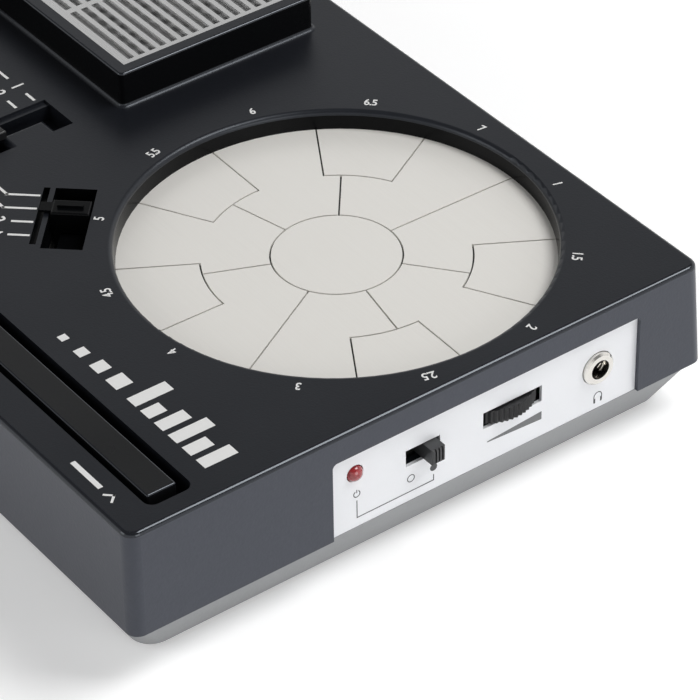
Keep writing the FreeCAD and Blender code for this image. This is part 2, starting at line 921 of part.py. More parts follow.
def half_keys():
    keys = {}
    half = notch_span / 2.0
    for name, angle in notch_angles().items():
        inner = notch_inner_r + pad_gap / 2.0
        key = sector(inner, dial_r + pad_overlap, angle - half, angle + half, pad_board_top, dial_floor)
        keys[name] = key.cut([gap_bar(angle - half, inner - 1), gap_bar(angle + half, inner - 1)])
    return keys


def centre_pad():
    return rod(dial_x, dial_y, pad_board_top, dial_floor, centre_pad_r)


def pad_board():
    points = []
    for index in range(8):
        angle = math.pi / 8 + math.pi * index / 4
        x = dial_x + pad_board_corner * math.cos(angle)
        points.append(V(x, dial_y + pad_board_corner * math.sin(angle), pad_board_bottom))
    board = Part.Face(Part.makePolygon(points + [points[0]])).extrude(V(0, 0, board_thick))
    holes = [rod(x, y, pad_board_bottom - 1, pad_board_top + 1, small_clear_r) for x, y in pad_screws()]
    return board.cut(holes)


# Stylus

def stylus_body():
    straight_x0 = stylus_x0 + tip_length - tip_socket + stylus_taper_length
    bar = box(straight_x0, stylus_x1, stylus_y0, stylus_y1, stylus_bottom, casing_top)
    long_edges = edges_where(bar, lambda edge: edge.BoundBox.XLength > 1 or abs(edge.CenterOfMass.x - stylus_x1) < 0.01)
    bar = bar.makeFillet(stylus_edge_r, long_edges)
    half = stylus_nose_size / 2.0
    nose_x = stylus_x0 + tip_length - tip_socket
    inset = stylus_edge_r
    wide = rectangle_x(straight_x0, stylus_y0 + inset, stylus_y1 - inset, stylus_bottom + inset, casing_top - inset)
    narrow = rectangle_x(nose_x, stylus_axis_y - half, stylus_axis_y + half, stylus_axis_z - half, stylus_axis_z + half)
    nose = Part.makeLoft([narrow, wide], True, True)
    socket = rod_x(nose_x - 1, nose_x + tip_socket, stylus_axis_y, stylus_axis_z, tip_r)
    lead_hole = rod_x(stylus_x1 - 6, stylus_x1 + 1, stylus_axis_y, stylus_bottom + 1.6, grommet_bore_r)
    return bar.fuse(nose).cut([socket, lead_hole]).removeSplitter()


def rectangle_x(x, y0, y1, z0, z1):
    points = [V(x, y0, z0), V(x, y1, z0), V(x, y1, z1), V(x, y0, z1)]
    return Part.makePolygon(points + [points[0]])


def stylus_tip():
    shoulder = stylus_x0 + (tip_length - tip_socket) / 2.0
    shank = rod_x(shoulder, stylus_x0 + tip_length, stylus_axis_y, stylus_axis_z, tip_r)
    point = Part.makeCone(tip_point_r, tip_r, shoulder - stylus_x0, V(stylus_x0, stylus_axis_y, stylus_axis_z), RIGHT)
    return shank.fuse(point).removeSplitter()


def lead_grommet():
    x, y = grommet_place()
    neck = rod(x, y, trough_floor - trough_wall - grommet_flange, trough_floor, grommet_neck_r)
    flange = rod(x, y, trough_floor, trough_floor + grommet_flange, grommet_flange_r)
    lower = rod(x, y, trough_floor - trough_wall - 2 * grommet_flange, trough_floor - trough_wall, grommet_flange_r)
    bore = rod(x, y, trough_floor - trough_wall - 2, trough_floor + 1, grommet_bore_r)
    return joined([neck, flange, lower]).cut(bore).removeSplitter()


# Speaker

def speaker_grille():
    inset = box_rim + grille_gap
    x0 = box_x0 + inset
    x1 = box_x1 - inset
    y0 = box_y0 + inset
    y1 = box_y1 - inset
    top = box_top - grille_sunk
    plate = box(x0, x1, y0, y1, top - grille_thick, top)
    count = int((y1 - y0 - 2 * grille_border + grille_pitch - grille_slot) / grille_pitch)
    spread = (count - 1) * grille_pitch
    first = (y0 + y1) / 2.0 - spread / 2.0 - grille_slot / 2.0
    room = x1 - x0 - 2 * grille_border - (grille_columns - 1) * grille_rib
    slot_length = room / grille_columns
    slots = []
    for column in range(grille_columns):
        left = x0 + grille_border + column * (slot_length + grille_rib)
        for row in range(count):
            front = first + row * grille_pitch
            slots.append(box(left, left + slot_length, front, front + grille_slot, top - grille_thick - 1, top + 1))
    return plate.cut(slots)


def grille_cloth():
    inset = box_rim + grille_gap
    return box(box_x0 + inset, box_x1 - inset, box_y0 + inset, box_y1 - inset, pocket_floor, pocket_floor + cloth_thick)


def speaker_frame():
    top = top_underside
    flange = rod(box_centre_x, box_centre_y, top - speaker_flange, top, speaker_r)
    outer = [(0, top - basket_depth), (basket_back_r, top - basket_depth), (speaker_r - 1, top - speaker_flange),
             (speaker_r - 1, top - speaker_flange / 2), (0, top - speaker_flange / 2)]
    wall = basket_wall
    inner = [(0, top - basket_depth + wall), (basket_back_r - wall, top - basket_depth + wall),
             (speaker_opening_r, top - speaker_flange), (speaker_opening_r, top + 1), (0, top + 1)]
    body = flange.fuse(turned(outer, box_centre_x, box_centre_y))
    return body.cut(turned(inner, box_centre_x, box_centre_y)).removeSplitter()


def speaker_cone():
    rim = top_underside - speaker_flange
    neck = rim - cone_depth
    dome = neck + cone_neck_r * 0.4
    edge = speaker_opening_r - cone_rim
    profile = [(0, dome), (cone_neck_r, neck + cone_wall), (edge, rim + cone_wall), (speaker_opening_r, rim + cone_wall),
               (speaker_opening_r, rim), (edge, rim), (cone_neck_r, neck), (0, dome - cone_wall)]
    return turned(profile, box_centre_x, box_centre_y)


def speaker_magnet():
    top = top_underside - basket_depth
    body = rod(box_centre_x, box_centre_y, top - magnet_height, top, magnet_r)
    rim_edges = edges_where(body, lambda edge: lies_at(edge, top - magnet_height))
    return body.makeChamfer(0.6, rim_edges)


# Slide selectors

def selector_middle(position):
    return selector_end_gap + selector_knob_length / 2.0 + selector_pitch * position


def selector_lever(middle):
    bottom = pan_bottom - switch_top_gap - 1.5
    half = lever_length / 2.0
    across = lever_axis() - lever_width / 2.0
    return box(middle - half, middle + half, across, across + lever_width, bottom, recess_floor + 0.5)


def sound_selector_knob():
    middle = selector_middle(sound_rest)
    half = selector_knob_length / 2.0
    side = selector_side_gap
    low = selector_lip_width + side
    stem = box(middle - half, middle + half, low, selector_lip_width + groove_width - side,
               recess_floor + side, casing_top + cap_clear)
    cap_top = casing_top + cap_clear + cap_height
    cap = box(middle - half, middle + half, low, low + cap_width, casing_top + cap_clear, cap_top)
    cap = cap.makeFillet(0.35, edges_where(cap, lambda edge: lies_at(edge, cap_top)))
    ridge = box(middle - 0.4, middle + 0.4, low + 0.6, low + cap_width - 0.6, cap_top - 0.2, cap_top + 0.4)
    knob = joined([stem, cap, ridge, selector_lever(middle)]).removeSplitter()
    return seated(knob, sound_place, sound_angle)


def mode_selector_knob():
    middle = selector_middle(mode_rest)
    half = selector_knob_length / 2.0
    side = selector_side_gap
    top = casing_top + mode_knob_proud
    low = guide_slot_width + guide_strip + side
    block = box(middle - half, middle + half, low, selector_width - side, recess_floor + side, top)
    block = block.makeFillet(0.35, edges_where(block, lambda edge: lies_at(edge, top)))
    ridge = box(middle - 0.4, middle + 0.4, low + 1.0, selector_width - 1.4, top - 0.2, top + 0.5)
    pointer = box(middle - pointer_length / 2.0, middle + pointer_length / 2.0, side, low + 0.5,
                  top - pointer_thick, top - 0.05)
    knob = joined([block, ridge, pointer, selector_lever(middle)]).removeSplitter()
    return seated(knob, mode_place, mode_angle)


def selector_switch(place, angle):
    top = pan_bottom - switch_top_gap
    across = lever_axis()
    body = box(-switch_end, selector_length + switch_end, across - switch_width / 2.0, across + switch_width / 2.0,
               control_board_top, top)
    along = selector_travel + lever_length + 2 * lever_gap
    start = (selector_length - along) / 2.0
    half = lever_width / 2.0 + lever_gap
    channel = box(start, start + along, across - half, across + half, top - 1.5 - lever_gap, top + 1)
    return seated(body.cut(channel), place, angle)


# Push buttons and tempo knob

def push_button(index):
    x, y = button_place(index)
    top = casing_top + button_proud
    cap = rod(x, y, top_underside - button_flange_height, top, button_r)
    cap = cap.makeFillet(button_edge_r, edges_where(cap, lambda edge: lies_at(edge, top)))
    level = top_underside - 0.1
    flange = rod(x, y, level - button_flange_height, level, button_r + button_gap + button_flange)
    plunger = rod(x, y, control_board_top + tact_height - plunger_sunk, level, plunger_r)
    return joined([cap, flange, plunger]).removeSplitter()


def button_switches():
    bodies = []
    half = tact_size / 2.0
    for index in range(3):
        x, y = button_place(index)
        top = control_board_top + tact_height
        body = box(x - half, x + half, y - half, y + half, control_board_top, top)
        bodies.append(body.cut(rod(x, y, top - tact_well, top + 1, plunger_r + tact_gap)))
    return Part.makeCompound(bodies)


def tempo_control():
    x, y = tempo_place()
    half = pot_size / 2.0
    top = control_board_top + pot_height
    body = box(x - half, x + half, y - half, y + half, control_board_top, top)
    return body.cut(rod(x, y, top - pot_well, top + 1, tempo_shaft_r + tempo_shaft_gap))


def tempo_shaft():
    x, y = tempo_place()
    bottom = control_board_top + pot_height - pot_well + 0.2
    return rod(x, y, bottom, casing_top + tempo_knob_gap + tempo_bore_depth, tempo_shaft_r)


def tempo_knob():
    x, y = tempo_place()
    bottom = casing_top + tempo_knob_gap
    top = bottom + tempo_knob_height
    skirt = ribbed_disc(x, y, bottom, top - 1.2, tempo_knob_r, tempo_flutes, tempo_flute_depth)
    crown = Part.makeCone(tempo_knob_r - tempo_flute_depth, tempo_knob_r - 1.4, 1.2, V(x, y, top - 1.2), UP)
    pointer = box(x - 0.5, x + 0.5, y + 1.5, y + tempo_knob_r - 1.6, top - 0.3, top + 1)
    bore = rod(x, y, bottom - 1, bottom + tempo_bore_depth, tempo_shaft_r + tempo_bore_gap)
    return skirt.fuse(crown).cut([pointer, bore]).removeSplitter()


# End panel and its controls

def end_panel():
    y0 = dial_y + panel_front
    y1 = dial_y + panel_rear
    plate = box(panel_back, panel_face, y0, y1, joint_z, casing_top + panel_top)
    upper = edges_where(plate, lambda edge: edge.BoundBox.XLength > panel_thick / 2 and edge.CenterOfMass.z > jack_axis_z)
    plate = plate.makeFillet(panel_corner_r, upper)
    return plate.cut(panel_openings(panel_back - 1, panel_face + 1, 0))


def power_led():
    # A lamp with a domed end and a collar at its back, turned about its own axis
    y = dial_y + led_y
    z = casing_top + led_z
    dome_start = panel_face + led_proud - led_r
    back = panel_face - led_length
    collar_r = led_r + led_flange
    tip = V(dome_start + led_r, y, z)
    shoulder = V(dome_start, y, z + led_r)
    middle = V(dome_start + led_r * math.cos(math.pi / 4), y, z + led_r * math.sin(math.pi / 4))
    corners = [shoulder, V(back + 1, y, z + led_r), V(back + 1, y, z + collar_r), V(back, y, z + collar_r),
               V(back, y, z), tip]
    edges = [Part.Arc(tip, middle, shoulder).toShape()]
    for start, end in zip(corners, corners[1:]):
        edges.append(Part.LineSegment(start, end).toShape())
    return Part.Face(Part.Wire(edges)).revolve(V(back, y, z), RIGHT, 360)


def power_knob_span():
    y0 = dial_y + power_slot_front + power_end_gap + power_travel
    return y0, y0 + power_knob_width


def power_switch_knob():
    y0, y1 = power_knob_span()
    z1 = casing_top + slot_top - power_knob_gap
    z0 = casing_top + slot_top - slot_height + power_knob_gap
    face = right_x + power_knob_overhang
    grip = box(inner_right - 0.6, face, y0, y1, z0, z1)
    grip = grip.makeChamfer(0.3, edges_where(grip, lambda edge: abs(edge.CenterOfMass.x - face) < 1e-4))
    lever = box(inner_right - 3.0, inner_right - 0.5, y0 + 0.5, y1 - 0.5, z0 + 0.8, z1 - 0.8)
    grooves = []
    pitch = power_knob_width / (power_knob_grooves + 1)
    for index in range(power_knob_grooves):
        y = y0 + pitch * (index + 1)
        grooves.append(box(face - power_groove, face + 1, y - 0.15, y + 0.15, z0 - 1, z1 + 1))
    return grip.fuse(lever).cut(grooves).removeSplitter()


def power_switch_body():
    y0 = dial_y + power_slot_front - 1.0
    y1 = y0 + power_slot_width + 2.0
    z1 = casing_top + slot_top
    x1 = inner_right - 1.0
    body = box(x1 - 5.0, x1, y0, y1, side_board_top, z1)
    z0 = casing_top + slot_top - slot_height
    return body.cut(box(x1 - 2.5, x1 + 1, y0 + 1, y1 - 1, z0 + 0.5, z1 - 0.5))


def wheel_axis():
    return right_x + wheel_overhang - wheel_r, dial_y + volume_y


def wheel_levels():
    middle = casing_top + slot_top - slot_height / 2.0
    return middle - wheel_thick / 2.0, middle + wheel_thick / 2.0


def volume_wheel():
    x, y = wheel_axis()
    z0, z1 = wheel_levels()
    wheel = ribbed_disc(x, y, z0, z1, wheel_r, wheel_teeth, wheel_tooth_depth)
    dish = rod(x, y, z1 - 0.5, z1 + 1, wheel_r - 1.6)
    return wheel.cut([dish, rod(x, y, z0 - 1, z1 + 1, wheel_spindle_r + wheel_spindle_gap)])


def volume_control():
    x, y = wheel_axis()
    z0, z1 = wheel_levels()
    half = wheel_base / 2.0
    body = box(x - half, x + half, y - half, y + half, side_board_top, z0 - wheel_base_gap)
    spindle = rod(x, y, side_board_top, z1 - wheel_spindle_end, wheel_spindle_r)
    return body.fuse(spindle).removeSplitter()


def headphone_jack():
    y = dial_y + jack_y
    half_y = jack_body_width / 2.0
    half_z = jack_body_height / 2.0
    x1 = inner_right - 0.2
    body = box(x1 - jack_body_length, x1, y - half_y, y + half_y, jack_axis_z - half_z, jack_axis_z + half_z)
    start = right_x - jack_bore_length
    sleeve_room = rod_x(x1 - 2.0, x1 + 1, y, jack_axis_z, jack_bore_r + 0.6)
    return body.cut([rod_x(start, x1 + 1, y, jack_axis_z, jack_bore_r), sleeve_room])


def jack_sleeve():
    y = dial_y + jack_y
    x1 = inner_right - 0.2
    nose = rod_x(x1, right_x, y, jack_axis_z, jack_nose_r)
    nose = nose.makeChamfer(0.35, edges_where(nose, lambda edge: abs(edge.CenterOfMass.x - right_x) < 1e-4))
    tail = rod_x(x1 - 2.0, x1, y, jack_axis_z, jack_bore_r + 0.6)
    return nose.fuse(tail).cut(rod_x(x1 - 3, right_x + 1, y, jack_axis_z, jack_bore_r)).removeSplitter()


# Boards and chips

def side_board():
    x0, x1, y0, y1 = side_board_box()
    board = box(x0, x1, y0, y1, side_board_bottom, side_board_top)
    return board.cut([rod(x, y, side_board_bottom - 1, side_board_top + 1, small_clear_r) for x, y in side_screws()])


def control_board():
    x0, x1, y0, y1 = control_board_box()
    board = box(x0, x1, y0, y1, control_board_bottom, control_board_top)
    holes = [rod(x, y, control_board_bottom - 1, control_board_top + 1, small_clear_r) for x, y in control_screws()]
    return board.cut(holes)


def circuit_chips():
    x0, x1, y0, y1 = control_board_box()
    middle = (x0 + x1) / 2.0
    front = y0 + sound_chip_from_front
    level = control_board_top
    sound = box(middle - sound_chip / 2, middle + sound_chip / 2, front, front + sound_chip, level, level + chip_height)
    start = middle + sound_chip / 2 + chip_spacing
    memory = box(start, start + memory_chip_length, front, front + memory_chip_width, level, level + chip_height)
    return Part.makeCompound([sound, memory, amplifier_chip()])


def amplifier_chip():
    x0, x1, y0, y1 = side_board_box()
    start = x0 + amplifier_from_side
    middle = (y0 + y1) / 2.0
    half = amplifier_width / 2.0
    return box(start, start + amplifier_length, middle - half, middle + half, side_board_top, side_board_top + chip_height)


def capacitors():
    x0, x1, y0, y1 = side_board_box()
    x = x0 + capacitor_from_side
    top = side_board_top + capacitor_height
    return Part.makeCompound([rod(x, y, side_board_top, top, capacitor_r)
                              for y in (y0 + capacitor_from_end, y1 - capacitor_from_end)])


# Batteries

def cell_axes():
    ys = [bay_y0 + cell_clear + cell_pitch * (index + 0.5) for index in range(cell_count)]
    return [(y, index % 2) for index, y in enumerate(ys)]


def cell_span(turned_round):
    # The flat end lies against the spring and the nub against the plain contact
    near = bay_x0 + contact_thick + nub_gap
    far = bay_x1 - contact_thick - nub_gap
    if turned_round:
        return far - nub_height - cell_length, far - nub_height
    return near + nub_height, near + nub_height + cell_length


def battery_cells():
    cells = []
    for y, turned_round in cell_axes():
        x0, x1 = cell_span(turned_round)
        can = rod_x(x0, x1, y, cell_axis_z, cell_r)
        can = can.makeFillet(0.5, edges_where(can, lambda edge: edge.BoundBox.XLength < 1e-3))
        if turned_round:
            nub = rod_x(x1 - 0.1, x1 + nub_height, y, cell_axis_z, nub_r)
        else:
            nub = rod_x(x0 - nub_height, x0 + 0.1, y, cell_axis_z, nub_r)
        cells.append(can.fuse(nub).removeSplitter())
    return Part.makeCompound(cells)


def contact_plates():
    plates = []
    half = contact_width / 2.0
    for y, turned_round in cell_axes():
        for x in (bay_x0, bay_x1 - contact_thick):
            plates.append(box(x, x + contact_thick, y - half, y + half, cell_axis_z - half, cell_axis_z + half))
    return Part.makeCompound(plates)


def battery_springs():
    springs = []
    for y, turned_round in cell_axes():
        x0, x1 = cell_span(turned_round)
        start = bay_x0 + contact_thick if turned_round else x1 + contact_gap
        end = x0 - contact_gap if turned_round else bay_x1 - contact_thick
        sleeve = rod_x(start, end, y, cell_axis_z, spring_r)
        springs.append(sleeve.cut(rod_x(start - 1, end + 1, y, cell_axis_z, spring_r - spring_wall)))
    return Part.makeCompound(springs)


# Screws

def upward_screw(x, y, seat, bite, radius, head_r, head):
    # The head sits below its seat and the shank points up
    return rod(x, y, seat - head, seat, head_r).fuse(rod(x, y, seat - 0.1, seat + bite, radius)).removeSplitter()


def casing_screws():
    seat = base_bottom + screw_well
    reach = joint_z + screw_bite - seat
    screws = [upward_screw(x, y, seat, reach, screw_r, screw_head_r, screw_head) for x, y in corner_screws()]
    return Part.makeCompound(screws)


def board_screws():
    screws = []
    for x, y in pad_screws():
        screws.append(upward_screw(x, y, pad_board_bottom, board_thick + small_bite, small_screw_r, small_head_r, small_head))
    for x, y in control_screws():
        screws.append(upward_screw(x, y, control_board_bottom, board_thick + 2 * small_bite, small_screw_r,
                                   small_head_r, small_head))
    for x, y in side_screws():
        shank = rod(x, y, side_board_bottom - small_bite, side_board_top + 0.1, small_screw_r)
        screws.append(shank.fuse(rod(x, y, side_board_top, side_board_top + small_head, small_head_r)).removeSplitter())
    return Part.makeCompound(screws)


def speaker_clips():
    # Screws whose wide heads hold the edge of the speaker's flange
    level = top_underside - speaker_flange
    screws = [upward_screw(x, y, level, small_bite, small_screw_r, small_head_r + 1.2, small_head)
              for x, y in speaker_screws()]
    return Part.makeCompound(screws)


def make_all():
    os.makedirs("parts", exist_ok=True)
    save("upper_casing", upper_casing())
    save("base_shell", base_shell())
    save("battery_door", battery_door())
    save("rubber_feet", rubber_feet())
    save("end_panel", end_panel())
    save("pad_centre", centre_pad())
    for name, key in full_keys().items():
        save("pad_" + name, key)
    for name, key in half_keys().items():
        save("pad_" + name, key)
    save("pad_board", pad_board())
    save("stylus_body", stylus_body())
    save("stylus_tip", stylus_tip())
    save("lead_grommet", lead_grommet())
    save("speaker_grille", speaker_grille())
    save("grille_cloth", grille_cloth())
    save("speaker_frame", speaker_frame())
    save("speaker_cone", speaker_cone())
    save("speaker_magnet", speaker_magnet())
    save("speaker_screws", speaker_clips())
    save("sound_selector_knob", sound_selector_knob())
    save("sound_selector_switch", selector_switch(sound_place, sound_angle))
    save("mode_selector_knob", mode_selector_knob())
    save("mode_selector_switch", selector_switch(mode_place, mode_angle))
    for index, name in enumerate(("record_button", "play_button", "clear_button")):
        save(name, push_button(index))
    save("button_switches", button_switches())
    save("tempo_knob", tempo_knob())
    save("tempo_shaft", tempo_shaft())
    save("tempo_control", tempo_control())
    save("power_led", power_led())
    save("power_switch_knob", power_switch_knob())
    save("power_switch_body", power_switch_body())
    save("volume_wheel", volume_wheel())
    save("volume_control", volume_control())
    save("headphone_jack", headphone_jack())
    save("jack_sleeve", jack_sleeve())
    save("side_board", side_board())
    save("control_board", control_board())
    save("circuit_chips", circuit_chips())
    save("capacitors", capacitors())
    save("battery_cells", battery_cells())
    save("battery_contacts", contact_plates())
    save("battery_springs", battery_springs())
    save("casing_screws", casing_screws())
    save("board_screws", board_screws())


make_all()
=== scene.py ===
import math

import bmesh
import bpy
from mathutils import Euler, Matrix, Vector


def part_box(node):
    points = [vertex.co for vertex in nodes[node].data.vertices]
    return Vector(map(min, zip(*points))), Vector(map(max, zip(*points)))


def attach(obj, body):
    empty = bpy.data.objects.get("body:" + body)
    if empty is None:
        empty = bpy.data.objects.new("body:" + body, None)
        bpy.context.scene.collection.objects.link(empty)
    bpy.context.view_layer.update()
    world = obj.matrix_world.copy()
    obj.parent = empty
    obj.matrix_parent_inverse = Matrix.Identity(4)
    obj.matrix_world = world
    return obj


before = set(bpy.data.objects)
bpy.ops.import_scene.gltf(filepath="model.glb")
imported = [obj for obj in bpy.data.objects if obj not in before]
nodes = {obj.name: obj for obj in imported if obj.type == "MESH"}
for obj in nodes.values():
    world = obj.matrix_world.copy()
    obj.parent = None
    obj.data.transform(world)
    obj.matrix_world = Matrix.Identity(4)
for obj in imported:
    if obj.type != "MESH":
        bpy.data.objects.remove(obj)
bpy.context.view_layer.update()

mm = 0.001


# Casing
# The top shell is one black moulding with a fine spark-eroded grain on every outer face.
# The mould leaves it slightly uneven in tone, so its roughness drifts over a hand's width.

def plastic_grain_group():
    """Fine moulded grain, with slow drift in tone and in roughness."""
    group = bpy.data.node_groups.new("moulded_grain", "ShaderNodeTree")
    face = group.interface
    face.new_socket("Colour", in_out="INPUT", socket_type="NodeSocketColor")
    face.new_socket("Light Colour", in_out="INPUT", socket_type="NodeSocketColor")
    face.new_socket("Grain Size", in_out="INPUT", socket_type="NodeSocketFloat")
    face.new_socket("Smooth", in_out="INPUT", socket_type="NodeSocketFloat")
    face.new_socket("Rough", in_out="INPUT", socket_type="NodeSocketFloat")
    face.new_socket("Colour", in_out="OUTPUT", socket_type="NodeSocketColor")
    face.new_socket("Roughness", in_out="OUTPUT", socket_type="NodeSocketFloat")
    face.new_socket("Height", in_out="OUTPUT", socket_type="NodeSocketFloat")
    tree = group.nodes
    link = group.links.new
    given = tree.new("NodeGroupInput")
    result = tree.new("NodeGroupOutput")
    place = tree.new("ShaderNodeTexCoord")
    size = tree.new("ShaderNodeVectorMath")
    size.operation = "SCALE"
    link(place.outputs["Object"], size.inputs[0])
    link(given.outputs["Grain Size"], size.inputs["Scale"])
    grain = tree.new("ShaderNodeTexVoronoi")
    grain.feature = "SMOOTH_F1"
    grain.inputs["Scale"].default_value = 1.0
    grain.inputs["Smoothness"].default_value = 0.6
    link(size.outputs[0], grain.inputs["Vector"])
    fleck = tree.new("ShaderNodeTexNoise")
    fleck.inputs["Scale"].default_value = 0.6
    fleck.inputs["Detail"].default_value = 3.0
    link(size.outputs[0], fleck.inputs["Vector"])
    drift = tree.new("ShaderNodeTexNoise")
    drift.inputs["Scale"].default_value = 28.0
    drift.inputs["Detail"].default_value = 4.0
    link(place.outputs["Object"], drift.inputs["Vector"])
    spread = tree.new("ShaderNodeMapRange")
    spread.inputs["From Min"].default_value = 0.3
    spread.inputs["From Max"].default_value = 0.7
    link(drift.outputs["Fac"], spread.inputs["Value"])
    link(given.outputs["Smooth"], spread.inputs["To Min"])
    link(given.outputs["Rough"], spread.inputs["To Max"])
    tone = tree.new("ShaderNodeMix")
    tone.data_type = "RGBA"
    shade = tree.new("ShaderNodeMath")
    shade.operation = "MULTIPLY"
    link(fleck.outputs["Fac"], shade.inputs[0])
    link(drift.outputs["Fac"], shade.inputs[1])
    link(shade.outputs[0], tone.inputs["Factor"])
    link(given.outputs["Colour"], tone.inputs["A"])
    link(given.outputs["Light Colour"], tone.inputs["B"])
    height = tree.new("ShaderNodeMath")
    height.operation = "ADD"
    link(grain.outputs["Distance"], height.inputs[0])
    link(fleck.outputs["Fac"], height.inputs[1])
    link(tone.outputs["Result"], result.inputs["Colour"])
    link(spread.outputs[0], result.inputs["Roughness"])
    link(height.outputs[0], result.inputs["Height"])
    return group


moulded_grain = plastic_grain_group()


def plastic(name, dark, light, smooth, rough, grain_mm, depth_mm, gloss=0.5, sheen=(1, 1, 1)):
    """A moulded plastic with two close tones, a grain of a given size and depth, and a tinted shine."""
    material = bpy.data.materials.new(name)
    material.use_nodes = True
    tree = material.node_tree.nodes
    link = material.node_tree.links.new
    shader = tree["Principled BSDF"]
    shader.inputs["Specular IOR Level"].default_value = gloss
    shader.inputs["Specular Tint"].default_value = (*sheen, 1)
    grain = tree.new("ShaderNodeGroup")
    grain.node_tree = moulded_grain
    grain.inputs["Colour"].default_value = (*dark, 1)
    grain.inputs["Light Colour"].default_value = (*light, 1)
    grain.inputs["Grain Size"].default_value = 1000 / grain_mm
    grain.inputs["Smooth"].default_value = smooth
    grain.inputs["Rough"].default_value = rough
    bump = tree.new("ShaderNodeBump")
    bump.inputs["Strength"].default_value = 0.35
    bump.inputs["Distance"].default_value = depth_mm * mm
    link(grain.outputs["Colour"], shader.inputs["Base Color"])
    link(grain.outputs["Roughness"], shader.inputs["Roughness"])
    link(grain.outputs["Height"], bump.inputs["Height"])
    link(bump.outputs[0], shader.inputs["Normal"])
    return material


def wear(material, *names):
    """Gives CAD nodes their finish."""
    for name in names:
        nodes[name].data.materials.clear()
        nodes[name].data.materials.append(material)


cool_sheen = (0.86, 0.92, 1.0)
casing_plastic = plastic("casing_plastic", (0.007, 0.0078, 0.0105), (0.012, 0.0132, 0.0175), 0.28, 0.36, 0.35,
                         0.02, 0.40, cool_sheen)
wear(casing_plastic, "upper_casing")


# Base, battery door and feet
# The lower shell and the door are moulded in mid grey, in a slightly coarser grain than the casing.
# Four soft rubber discs are pressed into round recesses under it.

base_plastic = plastic("base_plastic", (0.27, 0.277, 0.286), (0.33, 0.338, 0.348), 0.42, 0.52, 0.5, 0.03)
wear(base_plastic, "base_shell", "battery_door")
foot_rubber = plastic("foot_rubber", (0.012, 0.012, 0.012), (0.03, 0.03, 0.031), 0.7, 0.85, 0.8, 0.06, 0.3)
wear(foot_rubber, "rubber_feet", "lead_grommet")


# Dial
# Thirteen plates of bright nickel silver lie in the round well with hair-thin gaps between them.
# Each plate is rolled sheet, so it has faint straight rolling lines and small scuffs from the stylus.

def metal_group():
    """Rolling lines, cloudy patches and scuffs for sheet metal."""
    group = bpy.data.node_groups.new("rolled_sheet", "ShaderNodeTree")
    face = group.interface
    face.new_socket("Colour", in_out="INPUT", socket_type="NodeSocketColor")
    face.new_socket("Dull Colour", in_out="INPUT", socket_type="NodeSocketColor")
    face.new_socket("Smooth", in_out="INPUT", socket_type="NodeSocketFloat")
    face.new_socket("Rough", in_out="INPUT", socket_type="NodeSocketFloat")
    face.new_socket("Colour", in_out="OUTPUT", socket_type="NodeSocketColor")
    face.new_socket("Roughness", in_out="OUTPUT", socket_type="NodeSocketFloat")
    face.new_socket("Height", in_out="OUTPUT", socket_type="NodeSocketFloat")
    tree = group.nodes
    link = group.links.new
    given = tree.new("NodeGroupInput")
    result = tree.new("NodeGroupOutput")
    place = tree.new("ShaderNodeTexCoord")
    along = tree.new("ShaderNodeMapping")
    along.inputs["Scale"].default_value = (60, 4500, 4500)
    link(place.outputs["Object"], along.inputs["Vector"])
    lines = tree.new("ShaderNodeTexNoise")
    lines.inputs["Scale"].default_value = 1.0
    lines.inputs["Detail"].default_value = 2.0
    link(along.outputs[0], lines.inputs["Vector"])
    cloud = tree.new("ShaderNodeTexNoise")
    cloud.inputs["Scale"].default_value = 70.0
    cloud.inputs["Detail"].default_value = 5.0
    link(place.outputs["Object"], cloud.inputs["Vector"])
    both = tree.new("ShaderNodeMath")
    both.operation = "MULTIPLY"
    link(lines.outputs["Fac"], both.inputs[0])
    link(cloud.outputs["Fac"], both.inputs[1])
    tone = tree.new("ShaderNodeMix")
    tone.data_type = "RGBA"
    link(both.outputs[0], tone.inputs["Factor"])
    link(given.outputs["Colour"], tone.inputs["A"])
    link(given.outputs["Dull Colour"], tone.inputs["B"])
    spread = tree.new("ShaderNodeMapRange")
    spread.inputs["From Min"].default_value = 0.1
    spread.inputs["From Max"].default_value = 0.45
    link(both.outputs[0], spread.inputs["Value"])
    link(given.outputs["Smooth"], spread.inputs["To Min"])
    link(given.outputs["Rough"], spread.inputs["To Max"])
    link(tone.outputs["Result"], result.inputs["Colour"])
    link(spread.outputs[0], result.inputs["Roughness"])
    link(lines.outputs["Fac"], result.inputs["Height"])
    return group


rolled_sheet = metal_group()


def metal(name, bright, dull, smooth, rough, depth_mm=0.002, metallic=1.0):
    """A metal with rolling lines."""
    material = bpy.data.materials.new(name)
    material.use_nodes = True
    tree = material.node_tree.nodes
    link = material.node_tree.links.new
    shader = tree["Principled BSDF"]
    shader.inputs["Metallic"].default_value = metallic
    sheet = tree.new("ShaderNodeGroup")
    sheet.node_tree = rolled_sheet
    sheet.inputs["Colour"].default_value = (*bright, 1)
    sheet.inputs["Dull Colour"].default_value = (*dull, 1)
    sheet.inputs["Smooth"].default_value = smooth
    sheet.inputs["Rough"].default_value = rough
    bump = tree.new("ShaderNodeBump")
    bump.inputs["Strength"].default_value = 0.2
    bump.inputs["Distance"].default_value = depth_mm * mm
    link(sheet.outputs["Colour"], shader.inputs["Base Color"])
    link(sheet.outputs["Roughness"], shader.inputs["Roughness"])
    link(sheet.outputs["Height"], bump.inputs["Height"])
    link(bump.outputs[0], shader.inputs["Normal"])
    return material


pad_metal = metal("pad_metal", (0.93, 0.91, 0.865), (0.84, 0.82, 0.775), 0.36, 0.46, 0.002, 0.2)
pad_nodes = [name for name in nodes if name.startswith("pad_") and name != "pad_board"]
wear(pad_metal, *pad_nodes)
disc_low, disc_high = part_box("pad_centre")
dial_centre = Vector(((disc_low.x + disc_high.x) / 2, (disc_low.y + disc_high.y) / 2, 0))
casing_low, casing_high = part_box("upper_casing")
casing_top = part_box("stylus_body")[1].z


